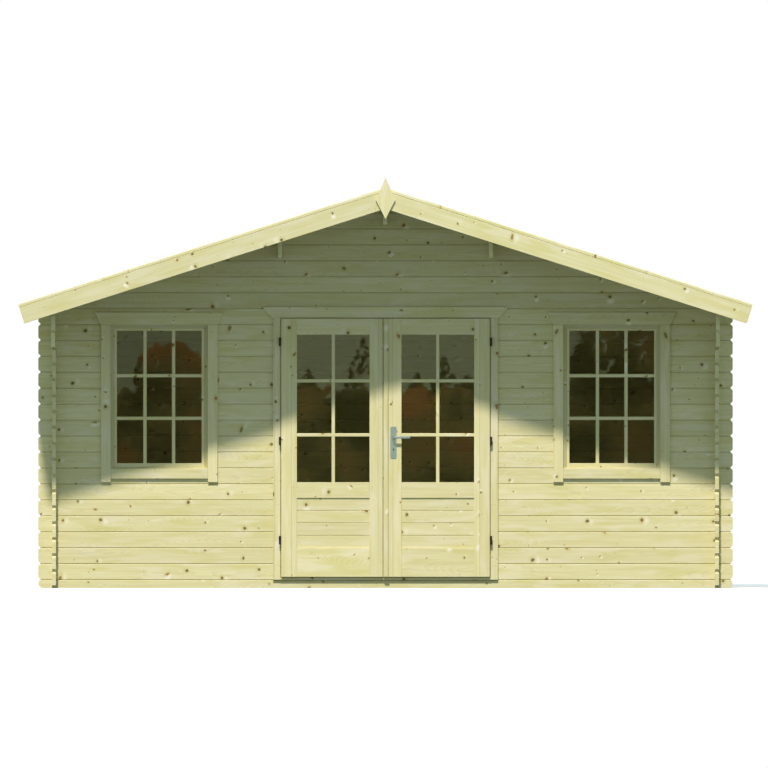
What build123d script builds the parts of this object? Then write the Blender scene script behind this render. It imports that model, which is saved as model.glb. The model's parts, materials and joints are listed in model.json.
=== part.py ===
from build123d import *
import os
from math import cos, floor, radians, sin, tan

# A log cabin on a level floor: interlocking pine logs, a plain pitched roof that runs out in
# front as a canopy, a double door and two windows in the front gable.  Millimetres, Z up.
# The front looks along -Y.  The origin is on the ground, in the middle of the whole outline.

# ------------------------------------------------------------------ walls
front_log_length = 5000.0    # front and rear logs, end to end
side_log_length = 4000.0     # side logs, end to end
log_overrun = 100.0          # how far a log runs on past the face of the wall that it crosses
log_thickness = 28.0
log_height = 115.0
side_courses = 18            # logs in the height of a side wall
eaves_log_extra = 19.5       # extra height of the top side log, which is planed to the roof's slope
canopy_log_count = 3         # top side logs that run on under the canopy
joint_gap = 0.4              # between a log and the next, all round
bevel_height = 5.5           # half the V joint along the logs' outer faces
bevel_depth = 5.0
tongue_top_half = 4.0
tongue_height = 8.0
tongue_gap = 0.3
end_chamfer = 21.0           # cut across the corners of the free log ends
canopy_log_bevel = 15.0      # cut across the lower front corners of the logs that carry the canopy
shortest_end_piece = 40.0    # a gable log lower than this is made in one with the log under it

# ------------------------------------------------------------------ roof
roof_pitch = 17.6            # degrees
deck_thickness = 24.0
eaves_overhang = 233.0       # from the side wall's face to the roof's edge, level
canopy_depth = 1100.0        # from the front wall's face to the front of the bargeboards
rear_overhang = 200.0        # the same behind the rear wall
bargeboard_depth = 120.0
bargeboard_thickness = 20.0
purlin_width = 28.0
purlin_depth = 235.0
side_purlin_x = 757.0
purlin_setback = 220.0       # from the front of the bargeboards to the ends of what carries the canopy
rear_purlin_overrun = 120.0
purlin_end_bevel = 22.0      # cut across the lower corners of the purlins' ends
eaves_batten_width = 45.0
eaves_batten_depth = 28.0
finial_height = 300.0
finial_half_width = 70.0
finial_tip_drop = 162.0      # from the widest place of the diamond to its top
finial_thickness = 20.0
finial_rise = 74.0           # how far the finial stands above the roof's ridge

# ------------------------------------------------------------------ floor
bearer_width = 45.0
bearer_count = 8
floor_thickness = 19.0
floor_gap = 2.0              # round the edge of the floor
floor_drop = 0.2             # floor's top below the top of the half logs

# ------------------------------------------------------------------ joinery, common
seat_gap = 0.3               # between pieces that are fixed to each other
frame_projection = 22.0      # how far door and window frames stand out inside the wall
casing_thickness = 22.0
inner_trim_thickness = 20.0
inner_trim_width = 60.0
inner_door_head_trim = 80.0  # height of the trim over the door, inside
glass_thickness = 4.0

# ------------------------------------------------------------------ double door
leaf_outer_x = 751.0
leaf_gap = 5.0               # between a leaf and what surrounds it
door_courses = 17            # whole logs beside the doorway, above the half log
settling_gap = 17.5          # between the door frame's head and the log over it
leaf_thickness = 42.0
leaf_front = -42.0           # face of the leaf, from the wall's outer face, minus is outward
stile_width = 113.0
meeting_light_x = 115.0      # from the middle of the door to a leaf's glass
top_rail_height = 115.5
mid_rail_bottom = 649.0
mid_rail_top = 762.0
bottom_rail_height = 206.4
right_meeting_x = -14.0      # the right leaf carries the strip, and reaches past the middle
left_meeting_x = -20.0
meeting_edge_slope = 3.5     # how much the back of a meeting edge is planed away
groove_depth = 10.0          # for glass, panel and tenons
panel_thickness = 22.0
tenon_thickness = 14.0
tenon_shoulder = 12.0
strip_width = 35.0
strip_thickness = 14.0
strip_bevel = 5.0
door_frame_reach = 18.0      # door frame that reaches in past the casings, behind the leaves
door_frame_hidden = 33.6     # door frame behind the casings
head_frame_height = 50.0
door_casing_width = 54.0
door_casing_foot = 1.5       # foot of the door casings above the half log
door_head_casing_height = 80.0
door_head_casing_overhang = 9.0
door_head_casing_flare = 70.0
threshold_front = -22.0      # level with the faces of the casings
threshold_thickness = 17.8
threshold_upstand = 17.0

# ------------------------------------------------------------------ windows
window_x = 1629.0
light_half = 305.0           # half the width of the glass that shows
light_bottom = 899.0
light_top = 1852.0
sash_show_side = 17.0        # sash that shows between the glass and the frame
sash_show_top = 15.0
sash_show_bottom = 26.0
frame_bevel_depth = 18.0     # the frame slopes in to the sash over this depth
frame_bevel_side = 28.0
frame_bevel_top = 27.0
frame_bevel_bottom = 14.0
sash_lap = 16.0              # sash behind the frame's lip
window_frame_side = 25.0     # window frame that the casings and the apron hide
window_frame_foot = 37.0
window_frame_head = 3.5
casing_width = 70.0
window_casing_foot = 97.0    # casings below the frame's lower edge
window_apron_height = 72.0
window_head_casing_height = 92.0
window_head_casing_overhang = 1.0
window_head_casing_flare = 45.0

# ------------------------------------------------------------------ ironmongery
hinge_offset = 9.0           # from a leaf's outer edge to its hinge axis
hinge_stand_off = 53.0       # hinge axis in front of the wall's outer face
hinge_low = 263.4            # from a leaf's bottom to the middle of its lowest hinge
hinge_high = 167.0           # from a leaf's top to the middle of its highest hinge
knuckle_radius = 8.0
knuckle_height = 30.5        # each of the two halves of a hinge
knuckle_gap = 0.5
pin_radius = 4.0
pin_clearance = 0.06
pin_length = 25.0
wing_thickness = 1.4
wing_depth = 50.0            # from the hinge axis to the back edges of the wings
handle_x = 57.0
handle_z = 1084.0
keyhole_drop = 88.0          # below the lever
plate_width = 44.0
plate_height = 230.0
plate_drop = 37.0            # from the lever to the middle of the plates
plate_corner = 6.0
plate_thickness = 3.0
spindle_radius = 5.0
spindle_hole = 16.0
keyhole_width = 5.0
keyhole_height = 20.0
hub_radius = 9.0
hub_clearance = 0.05
lever_reach = 120.0
lever_thickness = 9.0
lever_height = 16.0
hub_length = 12.0
lever_stand_off = 45.0
lever_bend = 14.0

# ------------------------------------------------------------------ places worked out
slope = tan(radians(roof_pitch))
wall_half_width = front_log_length / 2 - log_overrun
wall_depth = side_log_length - 2 * log_overrun
total_depth = finial_thickness + canopy_depth + wall_depth + rear_overhang
front_y = -total_depth / 2 + finial_thickness + canopy_depth
rear_y = front_y + wall_depth
eaves_z = side_courses * log_height + eaves_log_extra
apex_z = eaves_z + slope * wall_half_width
half_course = log_height / 2
canopy_front_y = front_y - canopy_depth
canopy_back_y = rear_y + rear_overhang
purlin_front_y = canopy_front_y + purlin_setback
purlin_rear_y = rear_y + rear_purlin_overrun
roof_half_span = wall_half_width + eaves_overhang
frame_back = log_thickness + frame_projection
floor_top = half_course - floor_drop
bearer_height = floor_top - floor_thickness - seat_gap
sill_top = half_course + seat_gap
threshold_top = sill_top + threshold_thickness
leaf_bottom = threshold_top + leaf_gap
head_face = half_course + door_courses * log_height - settling_gap - head_frame_height
leaf_top = head_face - leaf_gap
casing_face_x = leaf_outer_x + leaf_gap
door_opening_half = casing_face_x + door_frame_hidden + joint_gap
show_half = light_half + sash_show_side
show_bottom = light_bottom - sash_show_bottom
show_top = light_top + sash_show_top
casing_half = show_half + frame_bevel_side
casing_bottom = show_bottom - frame_bevel_bottom
casing_top = show_top + frame_bevel_top
window_opening_half = casing_half + window_frame_side
window_opening_bottom = casing_bottom - window_frame_foot
window_opening_top = casing_top + window_frame_head

front_wall = Plane(origin=(0, front_y + log_thickness / 2, 0), x_dir=(1, 0, 0), z_dir=(0, -1, 0))
rear_wall = Plane(origin=(0, rear_y - log_thickness / 2, 0), x_dir=(1, 0, 0), z_dir=(0, -1, 0))
side_wall = Plane(origin=(wall_half_width - log_thickness / 2, 0, 0), x_dir=(0, 1, 0), z_dir=(1, 0, 0))
far = front_log_length + side_log_length     # past every edge of the cabin
cut_margin = 1.0                             # how far a cut runs on past the surface it opens


def roof_underside(x):
    """Height of the roof boards' underside at a distance x from the ridge."""
    return apex_z - slope * abs(x)


def elevation(depth):
    """Plane of the front elevation, at a depth behind the front wall's outer face."""
    return Plane(origin=(0, front_y + depth, 0), x_dir=(1, 0, 0), z_dir=(0, -1, 0))


def plan(z):
    """Level plane at height z, with its origin in the middle of the front wall's outer face."""
    return Plane(origin=(0, front_y, z))


def rectangle(x0, x1, y0, y1, mode=Mode.ADD):
    """A rectangle between two limits each way, in the sketch being built."""
    with Locations(((x0 + x1) / 2, (y0 + y1) / 2)):
        Rectangle(x1 - x0, y1 - y0, mode=mode)


def board(x0, x1, z0, z1, front, back):
    """A flat board in the front elevation, between two depths behind the front wall's face."""
    with BuildPart() as piece:
        with BuildSketch(elevation(front)):
            rectangle(x0, x1, z0, z1)
        extrude(amount=front - back)
    return piece.part


# ------------------------------------------------------------------ logs
def log_section(low, high, inner_high, grooved, tongued):
    """Section of a log: half a V joint outside, a groove below and a tongue above.

    A log without a tongue has a top that slopes from high outside to inner_high inside.
    """
    half = log_thickness / 2
    root = half - bevel_depth
    points = [(half, low)]
    if grooved:
        points += [
            (tongue_top_half + tongue_gap, low + tongue_height + tongue_gap),
            (-tongue_top_half - tongue_gap, low + tongue_height + tongue_gap),
            (-root, low),
            (-half, low + bevel_height),
        ]
    else:
        points += [(-half, low)]
    if tongued:
        points += [
            (-half, high - bevel_height),
            (-root, high),
            (-tongue_top_half, high + tongue_height),
            (tongue_top_half, high + tongue_height),
            (half, high),
        ]
    else:
        points += [(-half, high), (half, inner_high)]
    Polygon(*points, align=None)


def log_outline(start, end, low, high, chamfered_ends, chamfered_top, foot_bevel):
    """Elevation of a log, with the corners of its free ends cut off.

    foot_bevel is cut off the lower corner at the start of a log that has no chamfered end there.
    """
    cut = end_chamfer
    top_cut = end_chamfer if chamfered_top else 0.0
    points = []
    if start in chamfered_ends:
        points += [(start, high - top_cut), (start, low + cut), (start + cut, low)]
    else:
        points += [(start, high), (start, low + foot_bevel)]
        if foot_bevel:
            points += [(start + foot_bevel, low)]
    if end in chamfered_ends:
        points += [(end - cut, low), (end, low + cut), (end, high - top_cut)]
        if top_cut:
            points += [(end - top_cut, high)]
    else:
        points += [(end, low), (end, high)]
    if top_cut and start in chamfered_ends:
        points += [(start + top_cut, high)]
    Polygon(*points, align=None)


def log(wall, start, end, low, high, crossings=(), chamfered_ends=(), tongued=True, grooved=True,
        inner_high=None, cuts=(), under_roof=False, flat_top=False, foot_bevel=0.0):
    """A log from start to end along a wall, notched where the logs of other walls cross it.

    A log is notched from below to half its height, and sits astride the log that crosses under it.
    Where a gable log crosses the top log of a side wall, each gives way by a quarter.
    cuts are rectangles (start, end, low, high) taken out for a doorway, a window or a purlin.
    """
    bottom = low + joint_gap / 2 if low > 0 else 0.0
    top = high - joint_gap / 2
    inner_top = inner_high - joint_gap / 2 if inner_high else top
    crest = top + tongue_height if tongued else max(top, inner_top)
    quarter = log_height / 4
    notch_half = log_thickness / 2 + joint_gap
    section_plane = Plane(
        origin=wall.origin + wall.x_dir * start, x_dir=-wall.z_dir, z_dir=wall.x_dir
    )
    with BuildPart() as piece:
        with BuildSketch(section_plane):
            log_section(bottom, top, inner_top, grooved, tongued)
        extrude(amount=end - start)
        with BuildSketch(wall):
            chamfered_top = not (under_roof or flat_top)
            log_outline(start, end, bottom, crest, chamfered_ends, chamfered_top, foot_bevel)
            for crossing in crossings:
                sides = (crossing - notch_half, crossing + notch_half)
                if under_roof:
                    rectangle(*sides, low - cut_margin, low + quarter + joint_gap / 2, mode=Mode.SUBTRACT)
                elif high - low > half_course:
                    notch_top = low + half_course + tongue_height + tongue_gap + joint_gap / 2
                    rectangle(*sides, low - cut_margin, notch_top, mode=Mode.SUBTRACT)
                if flat_top:
                    shoulder = low + log_height - quarter - joint_gap / 2
                    rectangle(*sides, shoulder, crest + cut_margin, mode=Mode.SUBTRACT)
            for cut_start, cut_end, cut_low, cut_high in cuts:
                reach = crest + cut_margin if cut_high >= top else cut_high
                if cut_low < crest and reach > bottom:
                    rectangle(cut_start, cut_end, cut_low, reach, mode=Mode.SUBTRACT)
            if under_roof:
                below = roof_underside(far) - far
                Polygon(
                    (-far, below), (far, below), (far, roof_underside(far) - joint_gap),
                    (0, apex_z - joint_gap), (-far, roof_underside(far) - joint_gap),
                    align=None, mode=Mode.INTERSECT,
                )
        extrude(amount=log_thickness, both=True, mode=Mode.INTERSECT)
    return piece.part


def finish(part_built, name):
    """Name a finished piece and write it to its own file."""
    part_built.label = name
    export_step(part_built, f"parts/{name}.step")


side_crossings = (front_y + log_thickness / 2, rear_y - log_thickness / 2)
end_crossings = (log_thickness / 2 - wall_half_width, wall_half_width - log_thickness / 2)
end_ends = (-front_log_length / 2, front_log_length / 2)
side_ends = (front_y - log_overrun, rear_y + log_overrun)
window_cut = (
    window_x - window_opening_half, window_x + window_opening_half,
    window_opening_bottom, window_opening_top,
)
first_gable_course = floor(
    (roof_underside(front_log_length / 2) - joint_gap - half_course) / log_height
)


def end_log(wall, low, high, start=end_ends[0], end=end_ends[1], **options):
    """A front or rear log below the roof, with its free ends chamfered."""
    crossings = [x for x in end_crossings if start < x < end]
    return log(wall, start, end, low, high, crossings, end_ends, **options)


def gable_logs(wall, first_course):
    """Logs of a gable: planed to the roof at their ends, and cut out for the purlins."""
    slot_half = purlin_width / 2 + joint_gap
    purlin_low = roof_underside(side_purlin_x) - purlin_depth - joint_gap
    ridge_slot = (-slot_half, slot_half, apex_z - purlin_depth - joint_gap, apex_z)
    pieces = []
    course = first_course
    while half_course + course * log_height < apex_z - shortest_end_piece:
        low = half_course + course * log_height
        high = low + log_height
        reach = min((apex_z - low) / slope, front_log_length / 2)
        split = low >= purlin_low
        if split:
            inner = side_purlin_x - slot_half
            outer = side_purlin_x + slot_half
            spans = [(-inner, inner, apex_z)]
            if roof_underside(outer) - low > shortest_end_piece:
                spans += [(outer, reach, roof_underside(outer)), (-reach, -outer, roof_underside(outer))]
            cuts = [ridge_slot]
        else:
            spans = [(-reach, reach, apex_z)]
            cuts = [ridge_slot] + [
                (x - slot_half, x + slot_half, purlin_low, apex_z) for x in (-side_purlin_x, side_purlin_x)
            ]
        for start, end, peak in spans:
            start = max(start, -reach)
            end = min(end, reach)
            last = peak - high < shortest_end_piece
            pieces.append(log(
                wall, start, end, low, peak if last else high,
                [x for x in end_crossings if start < x < end and low < eaves_z],
                end_ends, tongued=not last, cuts=cuts, under_roof=True,
            ))
        course += 1
    return pieces


os.makedirs("parts", exist_ok=True)

# Half logs on the ground start the front and rear walls, so that their joints lie half a course
# above and below those of the side walls.
with BuildPart() as front_sill_log:
    doorway = (-door_opening_half, door_opening_half, half_course - joint_gap / 2, log_height)
    add(end_log(front_wall, 0, half_course, grooved=False, cuts=[doorway]))
finish(front_sill_log.part, "front_sill_log")

with BuildPart() as front_wall_right_logs:
    add([
        end_log(
            front_wall, half_course + n * log_height, half_course + (n + 1) * log_height,
            start=door_opening_half, cuts=[window_cut],
        )
        for n in range(door_courses)
    ])
finish(front_wall_right_logs.part, "front_wall_right_logs")

with BuildPart() as front_wall_left_logs:
    mirror(front_wall_right_logs.part, about=Plane.YZ)
finish(front_wall_left_logs.part, "front_wall_left_logs")

with BuildPart() as front_gable_logs:
    add([
        end_log(front_wall, half_course + n * log_height, half_course + (n + 1) * log_height)
        for n in range(door_courses, first_gable_course)
    ])
    add(gable_logs(front_wall, max(first_gable_course, door_courses)))
finish(front_gable_logs.part, "front_gable_logs")

with BuildPart() as rear_wall_logs:
    add(end_log(rear_wall, 0, half_course, grooved=False))
    add([
        end_log(rear_wall, half_course + n * log_height, half_course + (n + 1) * log_height)
        for n in range(first_gable_course)
    ])
finish(rear_wall_logs.part, "rear_wall_logs")

with BuildPart() as rear_gable_logs:
    add(gable_logs(rear_wall, first_gable_course))
finish(rear_gable_logs.part, "rear_gable_logs")

with BuildPart() as right_wall_logs:
    add([
        log(
            side_wall, *side_ends, n * log_height, (n + 1) * log_height, side_crossings, side_ends,
            grooved=n > 0,
        )
        for n in range(side_courses - canopy_log_count)
    ])
finish(right_wall_logs.part, "right_wall_logs")

# The upper side logs run on in front and carry the canopy.
with BuildPart() as right_canopy_logs:
    for n in range(side_courses - canopy_log_count, side_courses):
        top_log = n == side_courses - 1
        add(log(
            side_wall, purlin_front_y, side_ends[1], n * log_height,
            eaves_z if top_log else (n + 1) * log_height, side_crossings, side_ends,
            tongued=not top_log,
            inner_high=roof_underside(wall_half_width - log_thickness) if top_log else None,
            flat_top=top_log,
            foot_bevel=canopy_log_bevel,
        ))
finish(right_canopy_logs.part, "right_canopy_logs")

with BuildPart() as left_wall_logs:
    mirror(right_wall_logs.part, about=Plane.YZ)
finish(left_wall_logs.part, "left_wall_logs")

with BuildPart() as left_canopy_logs:
    mirror(right_canopy_logs.part, about=Plane.YZ)
finish(left_canopy_logs.part, "left_canopy_logs")

# ------------------------------------------------------------------ roof
ridge_front = Plane(origin=(0, canopy_front_y, 0), x_dir=(1, 0, 0), z_dir=(0, -1, 0))
deck_rise = deck_thickness / cos(radians(roof_pitch))
board_drop = bargeboard_depth / cos(radians(roof_pitch))


def roof_band(top, bottom, ridge_gap, reach):
    """Section of the right roof slope between two heights over its underside, cut square at the eaves."""
    lean = (top - bottom) * sin(radians(roof_pitch)) * cos(radians(roof_pitch))
    low_reach = reach - lean
    Polygon(
        (ridge_gap, roof_underside(ridge_gap) + top),
        (ridge_gap, roof_underside(ridge_gap) + bottom),
        (low_reach, roof_underside(low_reach) + bottom),
        (reach, roof_underside(reach) + top),
        align=None,
    )


with BuildPart() as right_roof_deck:
    with BuildSketch(ridge_front):
        roof_band(deck_rise, 0, joint_gap, roof_half_span)
    extrude(amount=-(canopy_back_y - canopy_front_y))
finish(right_roof_deck.part, "right_roof_deck")

with BuildPart() as left_roof_deck:
    mirror(right_roof_deck.part, about=Plane.YZ)
finish(left_roof_deck.part, "left_roof_deck")

deck_lean = deck_rise * sin(radians(roof_pitch)) * cos(radians(roof_pitch))
bargeboard_reach = roof_half_span - deck_lean
with BuildPart() as front_bargeboards:
    with BuildSketch(ridge_front):
        roof_band(-seat_gap, -board_drop, seat_gap / 2, bargeboard_reach)
    extrude(amount=-bargeboard_thickness)
    mirror(about=Plane.YZ)
finish(front_bargeboards.part, "front_bargeboards")

with BuildPart() as rear_bargeboards:
    with BuildSketch(Plane(origin=(0, canopy_back_y, 0), x_dir=(1, 0, 0), z_dir=(0, -1, 0))):
        roof_band(-seat_gap, -board_drop, seat_gap / 2, bargeboard_reach)
    extrude(amount=bargeboard_thickness)
    mirror(about=Plane.YZ)
finish(rear_bargeboards.part, "rear_bargeboards")

finial_top = apex_z + deck_rise + finial_rise
finial_front = Plane(origin=(0, canopy_front_y - seat_gap, 0), x_dir=(1, 0, 0), z_dir=(0, -1, 0))
with BuildPart() as gable_finial:
    with BuildSketch(finial_front):
        Polygon(
            (0, finial_top),
            (-finial_half_width, finial_top - finial_tip_drop),
            (0, finial_top - finial_height),
            (finial_half_width, finial_top - finial_tip_drop),
            align=None,
        )
    extrude(amount=finial_thickness - seat_gap)
finish(gable_finial.part, "gable_finial")

purlin_start = Plane(origin=(0, purlin_front_y, 0), x_dir=(1, 0, 0), z_dir=(0, -1, 0))
purlin_length = purlin_rear_y - purlin_front_y
purlin_half = purlin_width / 2


def purlin_end_cuts(middle, low):
    """Wedges that take the lower corners off both ends of a purlin."""
    with BuildPart() as wedges:
        with BuildSketch(Plane(origin=(middle, 0, low), x_dir=(0, 1, 0), z_dir=(1, 0, 0))):
            for end, inward in ((purlin_front_y, 1), (purlin_rear_y, -1)):
                Polygon(
                    (end, 0), (end + inward * purlin_end_bevel, 0), (end, purlin_end_bevel), align=None
                )
        extrude(amount=purlin_width, both=True)
    return wedges.part


with BuildPart() as ridge_purlin:
    with BuildSketch(purlin_start):
        Polygon(
            (-purlin_half, apex_z - purlin_depth),
            (purlin_half, apex_z - purlin_depth),
            (purlin_half, roof_underside(purlin_half) - seat_gap),
            (0, apex_z - seat_gap),
            (-purlin_half, roof_underside(purlin_half) - seat_gap),
            align=None,
        )
    extrude(amount=-purlin_length)
    add(purlin_end_cuts(0, apex_z - purlin_depth), mode=Mode.SUBTRACT)
finish(ridge_purlin.part, "ridge_purlin")

side_purlin_low = roof_underside(side_purlin_x) - purlin_depth
with BuildPart() as side_purlins:
    with BuildSketch(purlin_start):
        Polygon(
            (side_purlin_x - purlin_half, side_purlin_low),
            (side_purlin_x + purlin_half, side_purlin_low),
            (side_purlin_x + purlin_half, roof_underside(side_purlin_x + purlin_half) - seat_gap),
            (side_purlin_x - purlin_half, roof_underside(side_purlin_x - purlin_half) - seat_gap),
            align=None,
        )
    extrude(amount=-purlin_length)
    add(purlin_end_cuts(side_purlin_x, side_purlin_low), mode=Mode.SUBTRACT)
    mirror(about=Plane.YZ)
finish(side_purlins.part, "side_purlins")

batten_reach = bargeboard_reach - bargeboard_thickness
with BuildPart() as eaves_battens:
    with BuildSketch(Plane(
        origin=(0, canopy_front_y + bargeboard_thickness + seat_gap, 0), x_dir=(1, 0, 0), z_dir=(0, -1, 0)
    )):
        Polygon(
            (batten_reach - eaves_batten_width, roof_underside(batten_reach - eaves_batten_width) - seat_gap),
            (
                batten_reach - eaves_batten_width,
                roof_underside(batten_reach - eaves_batten_width) - eaves_batten_depth,
            ),
            (batten_reach, roof_underside(batten_reach) - eaves_batten_depth),
            (batten_reach, roof_underside(batten_reach) - seat_gap),
            align=None,
        )
    extrude(amount=-(canopy_back_y - canopy_front_y - 2 * bargeboard_thickness - 2 * seat_gap))
    mirror(about=Plane.YZ)
finish(eaves_battens.part, "eaves_battens")

# ------------------------------------------------------------------ floor
floor_half = wall_half_width - log_thickness - floor_gap
floor_front = front_y + log_thickness + floor_gap
floor_back = rear_y - log_thickness - floor_gap
with BuildPart() as floor_bearers:
    with BuildSketch(Plane(origin=(0, (floor_front + floor_back) / 2, 0))):
        with GridLocations((2 * floor_half - bearer_width) / (bearer_count - 1), 1, bearer_count, 1):
            Rectangle(bearer_width, floor_back - floor_front)
    extrude(amount=bearer_height)
finish(floor_bearers.part, "floor_bearers")

with BuildPart() as floor_deck:
    with BuildSketch(Plane(origin=(0, (floor_front + floor_back) / 2, bearer_height + seat_gap))):
        Rectangle(2 * floor_half, floor_back - floor_front)
    extrude(amount=floor_thickness)
finish(floor_deck.part, "floor_deck")

# ------------------------------------------------------------------ door frame
leaf_back = leaf_front + leaf_thickness
door_frame_front = leaf_back + leaf_gap
door_frame_face = casing_face_x - door_frame_reach
door_frame_back_x = door_opening_half - joint_gap
head_low = head_face - door_frame_reach

with BuildPart() as door_frame:
    add(board(
        door_frame_face, door_frame_back_x, sill_top, head_low - seat_gap, door_frame_front, frame_back,
    ))
    mirror(about=Plane.YZ)
    add(board(
        -door_frame_back_x, door_frame_back_x, head_low, head_face + head_frame_height,
        door_frame_front, frame_back,
    ))
finish(door_frame.part, "door_frame")

with BuildPart() as door_threshold:
    add(board(
        seat_gap - casing_face_x, casing_face_x - seat_gap, sill_top, threshold_top,
        threshold_front, door_frame_front - seat_gap,
    ))
    add(board(
        seat_gap - door_frame_face, door_frame_face - seat_gap, sill_top, threshold_top,
        door_frame_front - seat_gap, frame_back,
    ))
    add(board(
        seat_gap - door_frame_face, door_frame_face - seat_gap, threshold_top,
        threshold_top + threshold_upstand, door_frame_front, frame_back,
    ))
finish(door_threshold.part, "door_threshold")

casing_front = -seat_gap - casing_thickness


def head_casing(middle, low, half, flare, height):
    """Casing over a door or window: a board that is wider at its top than at its foot."""
    with BuildPart() as piece:
        with BuildSketch(elevation(casing_front)):
            Polygon(
                (middle - half, low), (middle + half, low),
                (middle + half + flare, low + height), (middle - half - flare, low + height),
                align=None,
            )
        extrude(amount=-casing_thickness)
    return piece.part


with BuildPart() as door_trim_outside:
    add(board(
        casing_face_x, casing_face_x + door_casing_width,
        half_course + door_casing_foot, head_face - seat_gap, casing_front, -seat_gap,
    ))
    mirror(about=Plane.YZ)
    add(head_casing(
        0, head_face, casing_face_x + door_casing_width + door_head_casing_overhang,
        door_head_casing_flare, door_head_casing_height,
    ))
finish(door_trim_outside.part, "door_trim_outside")

inner_face = log_thickness + seat_gap
inner_trim_back = inner_face + inner_trim_thickness
inner_trim_x = door_opening_half + inner_trim_width
with BuildPart() as door_trim_inside:
    add(board(
        door_opening_half, inner_trim_x, floor_top + seat_gap, head_face + head_frame_height,
        inner_face, inner_trim_back,
    ))
    mirror(about=Plane.YZ)
    add(board(
        -inner_trim_x, inner_trim_x, head_face + head_frame_height + seat_gap,
        head_face + head_frame_height + seat_gap + inner_door_head_trim, inner_face, inner_trim_back,
    ))
finish(door_trim_inside.part, "door_trim_inside")

# ------------------------------------------------------------------ windows
sash_half = show_half + sash_lap
sash_bottom = show_bottom - sash_lap
sash_top = show_top + sash_lap
frame_front = seat_gap
sash_front = frame_bevel_depth + seat_gap


def mitre(side, lip_z, casing_z):
    """Joint between two members of the right window's frame, in line with the corners of its bevel."""
    rise = (casing_z - lip_z) / frame_bevel_side
    run = show_half / 2
    inner_x = window_x + side * (show_half - run)
    outer_x = window_x + side * (show_half + run)
    Polygon(
        (inner_x, lip_z - rise * run),
        (outer_x, lip_z + rise * run),
        (outer_x, lip_z + rise * run + seat_gap),
        (inner_x, lip_z - rise * run + seat_gap),
        align=None,
    )


with BuildPart() as right_window_frame:
    add(board(
        window_x - window_opening_half + joint_gap, window_x + window_opening_half - joint_gap,
        window_opening_bottom + joint_gap, window_opening_top - joint_gap, frame_front, frame_back,
    ))
    with BuildSketch(elevation(frame_front)):
        rectangle(window_x - casing_half, window_x + casing_half, casing_bottom, casing_top)
    with BuildSketch(elevation(frame_bevel_depth)):
        rectangle(window_x - show_half, window_x + show_half, show_bottom, show_top)
    loft(ruled=True, mode=Mode.SUBTRACT)
    with BuildSketch(elevation(frame_bevel_depth)):
        rectangle(window_x - sash_half, window_x + sash_half, sash_bottom, sash_top)
    extrude(amount=frame_bevel_depth - frame_back, mode=Mode.SUBTRACT)
    with BuildSketch(elevation(frame_front)):
        for side in (-1, 1):
            mitre(side, show_top, casing_top)
            mitre(side, show_bottom, casing_bottom)
    extrude(amount=frame_front - frame_back, mode=Mode.SUBTRACT)
finish(right_window_frame.part, "right_window_frame")

glass_front = (sash_front + frame_back - glass_thickness) / 2
sash_outer = sash_half - seat_gap
with BuildPart() as right_window_sash:
    for x0, x1 in (
        (window_x - sash_outer, window_x - light_half), (window_x + light_half, window_x + sash_outer),
    ):
        add(board(x0, x1, sash_bottom + seat_gap, sash_top - seat_gap, sash_front, frame_back))
    for z0, z1 in ((sash_bottom + seat_gap, light_bottom), (light_top, sash_top - seat_gap)):
        add(board(
            window_x - light_half + seat_gap, window_x + light_half - seat_gap, z0, z1,
            sash_front, frame_back,
        ))
    with BuildSketch(elevation(glass_front - seat_gap)):
        rectangle(
            window_x - light_half - groove_depth, window_x + light_half + groove_depth,
            light_bottom - groove_depth, light_top + groove_depth,
        )
    extrude(amount=-(glass_thickness + 2 * seat_gap), mode=Mode.SUBTRACT)
finish(right_window_sash.part, "right_window_sash")

glass_lap = groove_depth - seat_gap
with BuildPart() as right_window_glass:
    add(board(
        window_x - light_half - glass_lap, window_x + light_half + glass_lap,
        light_bottom - glass_lap, light_top + glass_lap, glass_front, glass_front + glass_thickness,
    ))
finish(right_window_glass.part, "right_window_glass")

with BuildPart() as right_window_trim_outside:
    for x0 in (window_x - casing_half - casing_width, window_x + casing_half):
        add(board(
            x0, x0 + casing_width, casing_bottom - window_casing_foot, casing_top - seat_gap,
            casing_front, -seat_gap,
        ))
    add(board(
        window_x - casing_half + seat_gap, window_x + casing_half - seat_gap,
        casing_bottom - window_apron_height, casing_bottom, casing_front, -seat_gap,
    ))
    add(head_casing(
        window_x, casing_top, casing_half + casing_width + window_head_casing_overhang,
        window_head_casing_flare, window_head_casing_height,
    ))
finish(right_window_trim_outside.part, "right_window_trim_outside")

for name, right in (
    ("left_window_frame", right_window_frame), ("left_window_sash", right_window_sash),
    ("left_window_glass", right_window_glass), ("left_window_trim_outside", right_window_trim_outside),
):
    with BuildPart() as left:
        mirror(right.part, about=Plane.YZ)
    finish(left.part, name)

with BuildPart() as window_trims_inside:
    for x0 in (window_x - window_opening_half - inner_trim_width, window_x + window_opening_half):
        add(board(
            x0, x0 + inner_trim_width, window_opening_bottom, window_opening_top,
            inner_face, inner_trim_back,
        ))
    for z0 in (window_opening_bottom - seat_gap - inner_trim_width, window_opening_top + seat_gap):
        add(board(
            window_x - window_opening_half - inner_trim_width,
            window_x + window_opening_half + inner_trim_width,
            z0, z0 + inner_trim_width, inner_face, inner_trim_back,
        ))
    mirror(about=Plane.YZ)
finish(window_trims_inside.part, "window_trims_inside")

# ------------------------------------------------------------------ door leaves
top_rail_bottom = leaf_top - top_rail_height
bottom_rail_top = leaf_bottom + bottom_rail_height
light_outer_x = leaf_outer_x - stile_width
leaf_middle = leaf_front + leaf_thickness / 2
leaf_glass_front = leaf_middle - glass_thickness / 2


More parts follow.
